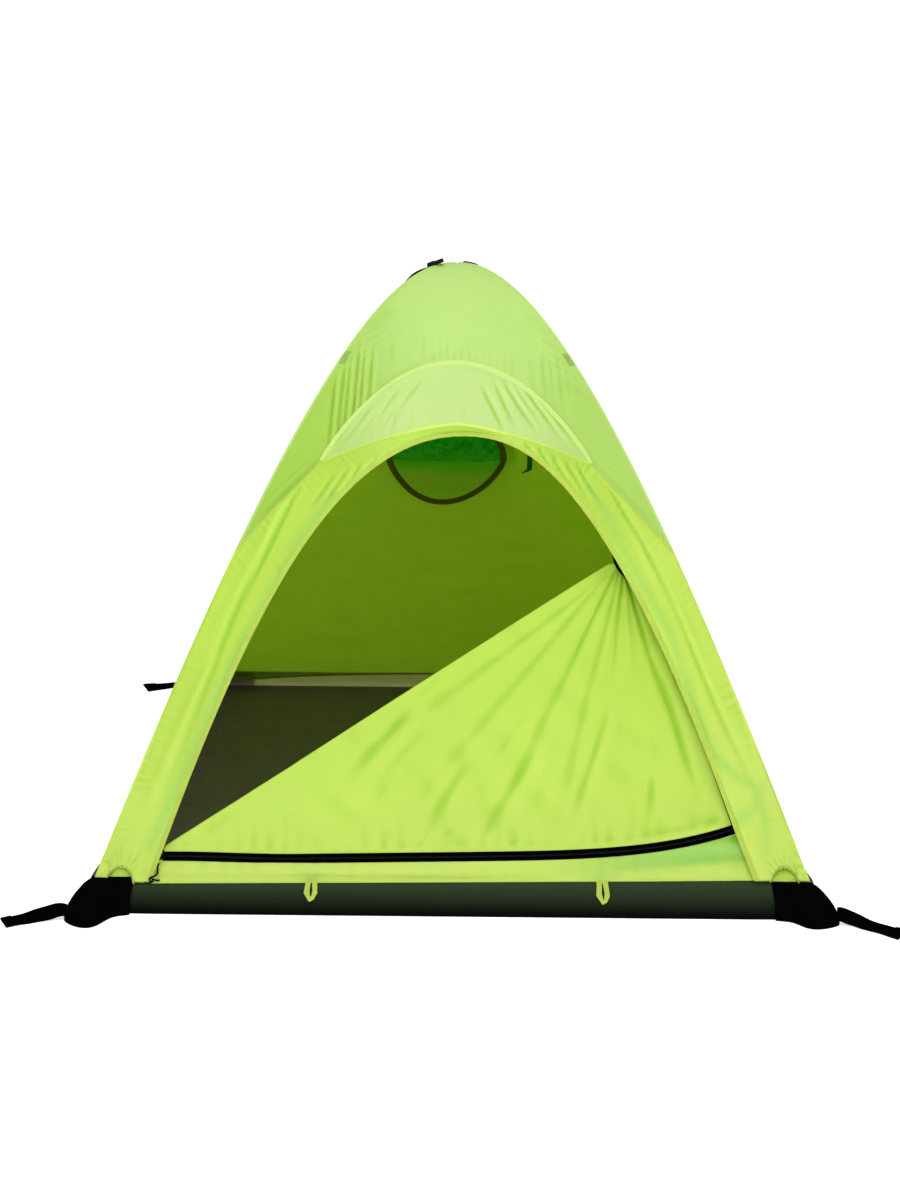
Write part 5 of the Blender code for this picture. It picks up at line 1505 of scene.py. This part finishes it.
def make_vent_tie():
    """Short tie that hangs beside the vent with its foot turned to the left."""
    down, across = column(0.0, 1.0, 40), row(-1.0, 1.0, 5)
    turned = smooth(down, 0.86, 1.0)
    x = 0.1790 - VENT_SHIFT - 0.008 * turned + 0.0062 * across * (1 + 0.5 * turned)
    up_wall = lerp(0.039, -0.037, down) + 0.004 * across * turned
    points = on_rear_wall(x, up_wall, 0.0046 + 0.005 * np.sin(down * 2.6))
    keep(cloth("vent_tie_ribbon", points, TAB_CLOTH, thickness=0.0016, flip=False), "dark_green_cloth",
         "vent_tie_tab")


# The tub and floor.

def make_tub():
    part, down = row(-1.0, 1.0, 220), column(0.0, 1.0, 18)
    height = TUB_HEIGHT * (1 - down)
    for index, side in enumerate(OUTWARD):
        run = BASE_HALF_WIDTH if OUTWARD[side][1] else BASE_HALF_LENGTH
        along = part * run
        relief = waves(along, height * 5, 121 + index, 0.0014, (0.12, 0.40), (0.9, 2.2))
        relief = relief + waves(along, height * 2, 131 + index, 0.0006, (0.03, 0.07), (0.6, 2.5))
        relief = relief + puckers(along, height, 141 + index, 0.028, 0.0014, 0.02)
        relief = relief + 0.0024 * np.sin(math.pi * down)
        clear = smooth((1 - np.abs(part)) * run, BOOT_REACH, BOOT_REACH + 0.04)
        held = smooth(down, 0.12, 0.45) * smooth(1 - down, 0.0, 0.2) * clear
        points = tub_wall(side, part, height, relief * held - 0.0008 * (1 - clear))
        material = REAR_TUB if side == "rear" else TUB_CLOTH
        panel(f"tub_{side}_cloth", points, material, f"tub_wall_{side}", slot="dark_green_cloth")


def make_floor():
    x, y = corner_line(0.0)
    across, along = column(-1.0, 1.0, 72) * (x - 0.0015), row(-1.0, 1.0, 116) * (y - 0.0015)
    rise = 0.0012 + waves(across, along, 151, 0.0012, (0.12, 0.6))
    rise = rise + waves(across, along, 152, 0.0005, (0.05, 0.1))
    edge = np.minimum(x - np.abs(across), y - np.abs(along))
    height = 0.0016 + np.clip(rise, 0.0, None) * smooth(edge, 0.0, 0.05)
    points = np.stack(np.broadcast_arrays(across, along, height), -1)
    upward = grid_normals(points)[..., 2].sum() > 0
    panel("floor_cloth", points, FLOOR_CLOTH, "floor_sheet", held="laid", slot="dark_green_cloth",
          thickness=0.0012, flip=not upward)


# Corner boots and ground straps.

BOOT_REACH, BOOT_TOP, BOOT_WALL, BOOT_GAP = 0.088, 0.048, 0.003, 0.0006
BOOT_FRONT = {(1, -1): 0.62}
BOOT_OUTLINE = [
    (-BOOT_REACH, 0.004), (-0.064, 0.020), (-0.044, 0.070), (-0.022, 0.074),
    (0.004, 0.044), (0.010, 0.006), (0.007, -0.050), (0.004, -BOOT_REACH),
]
BOOT_SEAT = [
    (-BOOT_REACH, 0.0), (-0.060, 0.0), (-0.030, 0.0), (0.0, 0.0),
    (0.0, -0.006), (0.0, -0.030), (0.0, -0.058), (0.0, -BOOT_REACH),
]
BOOT_LEVELS = [(0.0, 1.0), (0.012, 1.0), (0.026, 0.8), (0.04, 0.5), (0.05, 0.3), (BOOT_TOP, 0.16)]
STRAPS = {
    "front_left": (-1, -1, (0.098, 0.075)),
    "front_right": (1, -1, (0.095, 0.096)),
    "rear_left": (-1, 1, (0.184, -0.098)),
    "rear_right": (1, 1, (0.110, 0.090)),
}
STRAP_WIDTH, STRAP_ROOT, STRAP_THICK = 0.021, (0.0080, 0.026), 0.0018
STRAP_TWIST, STRAP_LIFT = 0.016, 0.006


def boot_grid(sign_x, sign_y, outline, outside):
    """Points of a boot's outer or inner face, row by row from its top to the ground.

    It is cut lower beside the tent.
    """
    path = smooth_path([(*place, 0.0) for place in outline], 9)[:, :2]
    if outside:
        path[:, 1] = np.where(path[:, 1] > 0, path[:, 1] * BOOT_FRONT.get((sign_x, sign_y), 1.0), path[:, 1])
    cut = 1 - 0.40 * smooth(np.linspace(0.0, 1.0, len(path)), 0.55, 1.0)
    across, out = path.T
    thick = BOOT_WALL if outside else BOOT_GAP
    lift = BOOT_WALL * np.minimum(1.0, 1 + across / BOOT_REACH) if outside else BOOT_GAP
    rows = []
    for level in np.linspace(BOOT_TOP, 0.0, 22):
        height = level * cut
        x, y = corner_line(height)
        bulge = np.interp(height, *zip(*BOOT_LEVELS)) if outside else 1.0
        wide = across * np.where(across < 0, 1 - (BASE_HALF_WIDTH - x) / BOOT_REACH, bulge)
        far = out * np.where(out < 0, 1 - (BASE_HALF_LENGTH - y) / BOOT_REACH, bulge)
        rows.append(np.stack([sign_x * (x + wide + lift), sign_y * (y + far + thick), height], -1))
    return np.array(rows)


def make_corners():
    for index, (name, (sign_x, sign_y, end)) in enumerate(STRAPS.items()):
        outer = boot_grid(sign_x, sign_y, BOOT_OUTLINE, True)
        inner = boot_grid(sign_x, sign_y, BOOT_SEAT, False)
        around, low = np.arange(outer.shape[1])[None, :], column(0.0, 1.0, len(outer))
        ripple = 0.0008 * np.sin(around * 0.55 + 6 * low) * np.sin(low * math.pi)
        normal = grid_normals(outer)
        outer = outer + normal * np.sign(((outer - inner) * normal).sum()) * ripple[..., None]
        uv = np.stack(np.broadcast_arrays(around * 0.004, low * 0.06), -1)
        boot = shell(f"corner_boot_{name}_cloth", outer, inner, BLACK_RUBBER, uv)
        face_out(boot.data)
        keep(boot, "black_trim", f"corner_boot_{name}")
        make_strap(name, sign_x, sign_y, end, index)


def make_strap(name, sign_x, sign_y, end, seed):
    """Webbing from the boot to its folded and sewn end, twisted a little so that its rear edge stands up."""
    root = (STRAP_ROOT[0], STRAP_ROOT[1] * BOOT_FRONT.get((sign_x, sign_y), 1.0))
    corner = np.array((BASE_HALF_WIDTH, BASE_HALF_LENGTH))
    start, far = corner + root, corner + end
    bend = start + (end[0] * 0.35, 0.004)
    part = column(0.0, 1.0, 90)
    route = start * (1 - part) ** 2 + bend * 2 * part * (1 - part) + far * part**2
    ahead = np.gradient(route, axis=0)
    ahead = ahead / np.linalg.norm(ahead, axis=1, keepdims=True)
    side = np.stack([-ahead[:, 1], ahead[:, 0]], 1)
    across = row(-1.0, 1.0, 9)[..., None] * STRAP_WIDTH / 2
    flat = route[:, None, :] + side[:, None, :] * across
    world_y = sign_y * flat[..., 1]
    rear = (world_y - world_y.min(axis=1, keepdims=True)) / np.ptp(world_y, axis=1)[:, None]
    doubled = STRAP_THICK * smooth(part, 0.86, 0.88)
    height = STRAP_THICK + doubled + 0.0007 * np.sin(part * 9 + seed) ** 2
    height = height + STRAP_TWIST * rear * (0.75 + 0.25 * np.sin(part * 5 + seed))
    height = height + STRAP_LIFT * (1 - smooth(part, 0.0, 0.55))
    top = np.stack([sign_x * flat[..., 0], world_y, height], -1)
    under = top.copy()
    under[..., 2] = np.maximum(height - STRAP_THICK - doubled, 0.0)
    uv = np.stack(np.broadcast_arrays(across[..., 0], part * 0.12), -1)
    strap = shell(f"ground_strap_{name}_webbing", top, under, BLACK_TAPE, uv)
    face_out(strap.data)
    keep(strap, "black_trim", f"ground_strap_{name}")


# Ribbon loops, patches and buckles.

LOOPS = {"left": -0.229, "right": 0.242}
LOOP_HALF_WIDTH, LOOP_SLIT = 0.0110, 0.0020
LOOP_TOP, LOOP_MIDDLE, LOOP_LOW = 0.049, 0.042, 0.032
LOOP_RIM = [
    (-0.0088, LOOP_TOP), (-0.0094, LOOP_MIDDLE), (-LOOP_HALF_WIDTH, LOOP_LOW), (-0.0015, LOOP_LOW - 0.011),
    (0.0055, LOOP_LOW - 0.008), (LOOP_HALF_WIDTH, LOOP_LOW), (0.0098, LOOP_MIDDLE), (0.0094, LOOP_TOP),
]
LOOP_HOLE = [
    (-0.0005, LOOP_TOP - 0.003), (-0.0010, LOOP_MIDDLE), (-LOOP_SLIT, LOOP_LOW + 0.003),
    (-0.0002, LOOP_LOW - 0.005), (0.0014, LOOP_LOW - 0.004), (0.0028, LOOP_LOW + 0.003),
    (0.0016, LOOP_MIDDLE), (0.0009, LOOP_TOP - 0.003),
]


def finer(line):
    places = np.array(line + line[:1])
    return np.array([lerp(a, b, part) for a, b in zip(places, places[1:]) for part in np.arange(8) / 8])


def make_loop(hand, x):
    """Folded ribbon that hangs over the front of the tub: two legs and a pointed foot."""
    across = row(0.0, 1.0, 6)
    edges = zip(finer(LOOP_RIM).T, finer(LOOP_HOLE).T)
    place_x, height = (lerp(outer[:, None], inner[:, None], across) for outer, inner in edges)
    along = (x + place_x) / (corner_line(height)[0] - 0.0004)
    front = tub_wall("front", along, height, 0.0062 + 0.0006 * np.sin(across * math.pi))
    back = tub_wall("front", along, height, 0.0046)
    uv = np.stack([place_x, height], -1)
    loop = shell(f"ribbon_loop_{hand}_ribbon", front, back, HEM_TAPE, uv, {"warm": 1.0}, closed=True)
    face_out(loop.data)
    keep(loop, "hem_tape", f"ribbon_loop_{hand}")


def surface_strip(side, across, share, reach, rows=24):
    """Points on a panel's outside between two places across and two shares."""
    points = wall(side, row(*across, 24), column(*share, rows))
    return points + outward_normals(points) * reach


def make_guy_patches():
    for end in ("front", "rear"):
        for hand, sign in (("left", -1), ("right", 1)):
            name = f"guy_patch_{end}_{hand}"
            points = surface_strip(end, sorted((sign * 0.945, sign * 0.990)), (0.343, 0.364), 0.0014)
            keep(cloth(f"{name}_cloth", points, GREY_PATCH, thickness=0.0010), "grey_patch", name)
            lines = [stitch_line(points.swapaxes(0, 1), place, 0.0001) for place in (3, 20)]
            stitches(f"{name}_stitches", *lines, slot="grey_patch")


BUCKLE_SLOPE = math.radians(21.3)
# The buckle's blocks: size and place.
BUCKLE_BLOCKS = [
    ((0.0050, 0.0350, 0.0080), (-0.0085, 0.0, 0.0)),
    ((0.0050, 0.0350, 0.0080), (0.0085, 0.0, 0.0)),
    ((0.0215, 0.0055, 0.0080), (0.0, -0.0147, 0.0)),
    ((0.0190, 0.0034, 0.0060), (0.0, -0.0040, 0.0)),
    ((0.0175, 0.0160, 0.0100), (0.0, 0.0080, 0.0008)),
]


def make_top_buckles():
    """Side-release buckle on its webbing at the left of the top, and a webbing tab at the right."""
    slack = 0.0022 + 0.0050 * np.sin(np.linspace(0.0, math.pi, 30))[:, None, None]
    webbing = surface_strip("left", (-0.985, -0.845), (0.088, 0.165), slack, 30)
    keep(cloth("top_buckle_left_webbing", webbing, BLACK_TAPE, thickness=0.0016), "black_trim",
         "top_buckle_left")
    rise, run = math.sin(BUCKLE_SLOPE), math.cos(BUCKLE_SLOPE)
    seat = np.array(((-0.0420, -0.0680, 1.0620), (0.0, 1.0, 0.0), (-run, 0.0, -rise), (-rise, 0.0, run)))
    blocks = [pillow(size, 0.0, shift) for size, shift in BUCKLE_BLOCKS]
    fitting("top_buckle_left_body", blocks, seat, lift=0.0048)
    tab = surface_strip("right", (-0.97, -0.62), (0.026, 0.066), 0.0042)
    keep(cloth("top_buckle_right_tab", tab, BLACK_TAPE, thickness=0.0030), "black_trim", "top_buckle_right")


# Poles, and the seams along them.

def pole_route(sign, drop):
    """Middle of a pole, just inside the panels: up from a front corner and down to the opposite one."""
    shares = np.linspace(float(share_at(POLE_FOOT_HEIGHT)), 0.0, 160)
    route = []
    for end, across, line in (("front", sign, shares), ("rear", -sign, shares[-2::-1])):
        for share in line:
            inward = mitre(end, across, max(float(share), 0.002))
            place = wall(end, float(across), float(share)) + inward * (POLE_INSET + POLE_RADIUS)
            place[2] -= drop * math.exp(-((share / POLE_DROP_SPREAD) ** 2))
            route.append(place)
    return np.array(route)


def mitre(side, across, share):
    """Direction from a pole line into the tent that keeps the same distance from both its panels."""
    first = -seat_on(side, float(across), share)[3]
    second = -seat_on("right" if across > 0 else "left", -1.0 if side == "front" else 1.0, share)[3]
    return (first + second) / (1 + first @ second)


def make_poles():
    for name, sign, dip in (("pole_upper", -1, 0.0), ("pole_lower", 1, 2 * POLE_RADIUS + 0.0006)):
        route = pole_route(sign, dip)
        facing = np.tile((0.0, 0.0, 1.0), (len(route), 1))
        tube = grow(name, route, facing, ROPE, POLE_METAL, "pole_tube", Radius=POLE_RADIUS, Sides=20)
        sleeves = grow(name, route[16:-16], facing[16:-16], SLEEVE, POLE_METAL, "pole_tube", Pitch=0.36,
                       Size=(0.050, 0.0101, 0.0101))
        join_pieces(f"{name}_tube", "pole_tube", [tube, sleeves], name)


RIDGE_NEAR, RIDGE_FAR = (0.0048, 0.0036, 0.0018, 0.0), (0.0018, 0.0036, 0.0048)
RIDGE_RISE = np.array([0.0003, 0.0006, 0.0008, 0.0009, 0.0008, 0.0006, 0.0003])[None, :, None]


def make_ridge_seams():
    """Felled seams where two panels meet along the poles, with a row of stitches on each side."""
    share, lines = np.linspace(0.012, TUB_SHARE, 260), []
    for end, other in (("front", -1.0), ("rear", 1.0)):
        for side, sign in (("left", -1.0), ("right", 1.0)):
            columns = [wall(end, sign * (1 - off / (HALF_WIDTH * share)), share) for off in RIDGE_NEAR]
            columns += [wall(side, other * (1 - off / (HALF_LENGTH * share)), share) for off in RIDGE_FAR]
            points = np.stack(columns, 1)
            normal = outward_normals(points)
            points = points + normal * RIDGE_RISE
            keep(cloth(f"ridge_seam_{end}_{side}", points, RIDGE_CLOTH[end], thickness=0.0010), "lime_cloth")
            lines += [(points[:, k] + normal[:, k] * 0.0003, normal[:, k]) for k in (1, 5)]
    stitches("ridge_stitches", *lines, slot="lime_cloth")


def make_front_seams():
    """Seams of the door end: the canopy's lower edge, the visor's sewn arc and its bound brim."""
    head_x, head_z = head_line()
    seams = len(head_x) // 2 - 75
    for hand, part in (("left", slice(0, seams + 1)), ("right", slice(-seams - 1, None))):
        band = front_band(head_x[part], head_z[part], -0.0020, 0.0026, LAYER + 0.0012, 5)
        keep(cloth(f"canopy_seam_{hand}", band, HEM_TAPE, thickness=0.0012), "hem_tape")
    x = VISOR_HALF_WIDTH * np.sin(np.linspace(-QUARTER, QUARTER, 171))[2:-2]
    band = front_band(x, visor_arc(x), -0.0034, 0.0050, 0.0026)
    keep(cloth("visor_seam", band, SEAM_CLOTH, thickness=0.0010), "hem_tape")
    band = front_band(x, brim_height(x), -0.0026, 0.0020, brim_reach(x)[:, None] + 0.0026)
    keep(cloth("visor_brim_binding", band, SEAM_CLOTH, thickness=0.0022, masks={"warm": 1.0}), "hem_tape")


# Soft lamps: place, the point they face, size and power.
LAMPS = {
    "overhead": ((0.0, -0.6, 3.4), (0.0, 0.0, 0.0), 3.0, 50.0),
    "front_fill": ((0.8, -4.5, 1.6), (0.0, 0.0, 0.4), 2.5, 45.0),
    "key": ((-0.9, -3.4, 3.2), (0.0, -0.5, 0.4), 1.2, 32.0),
}


def make_stage():
    """Pale seamless floor, and soft light from above and in front."""
    world = bpy.data.worlds.new("studio")
    world.use_nodes = True
    tree = Tree(world.node_tree)
    seen = tree.add("ShaderNodeLightPath").outputs["Is Camera Ray"]
    background = world.node_tree.nodes["Background"]
    background.inputs["Color"].default_value = (1.0, 1.0, 1.0, 1.0)
    world.node_tree.links.new(tree.fit(seen, 0.60, 1.1), background.inputs["Strength"])
    bpy.context.scene.world = world
    finish = bpy.data.materials.new("pale_floor")
    finish.use_nodes = True
    shader = finish.node_tree.nodes["Principled BSDF"]
    shader.inputs["Base Color"].default_value = (0.85, 0.85, 0.85, 1.0)
    shader.inputs["Roughness"].default_value = 0.9
    shader.inputs["Emission Color"].default_value = (1.0, 1.0, 1.0, 1.0)
    shader.inputs["Emission Strength"].default_value = 0.56
    reach, level = 30.0, -0.0005
    corners = [(-reach, -reach, level), (reach, -reach, level), (reach, reach, level), (-reach, reach, level)]
    mesh = bpy.data.meshes.new("studio_floor")
    mesh.from_pydata(corners, [], [(0, 1, 2, 3)])
    mesh.materials.append(finish)
    link("studio_floor", mesh)
    for name, (place, aim, size, power) in LAMPS.items():
        lamp = bpy.data.lights.new(name, "AREA")
        lamp.shape, lamp.size, lamp.energy = "DISK", size, power
        light = link(name, lamp)
        light.location = place
        light.rotation_euler = (Vector(place) - Vector(aim)).to_track_quat("Z", "Y").to_euler()
    bpy.context.scene.view_settings.view_transform = "Standard"


make_camera()
make_pull_cord()
make_poles()
for side, seed in (("left", 11), ("right", 21)):
    wall_panel(side, *big_panel(side, 132, seed))
make_rear_wall()
make_canopy()
make_visor()
make_skin()
make_inner_wall()
make_door()
make_sill()
make_zips()
make_sliders()
make_vent()
make_vent_hood()
make_vent_tie()
make_tub()
make_floor()
make_corners()
for hand, place in LOOPS.items():
    make_loop(hand, place)
make_guy_patches()
make_top_buckles()
make_ridge_seams()
make_front_seams()
make_stage()
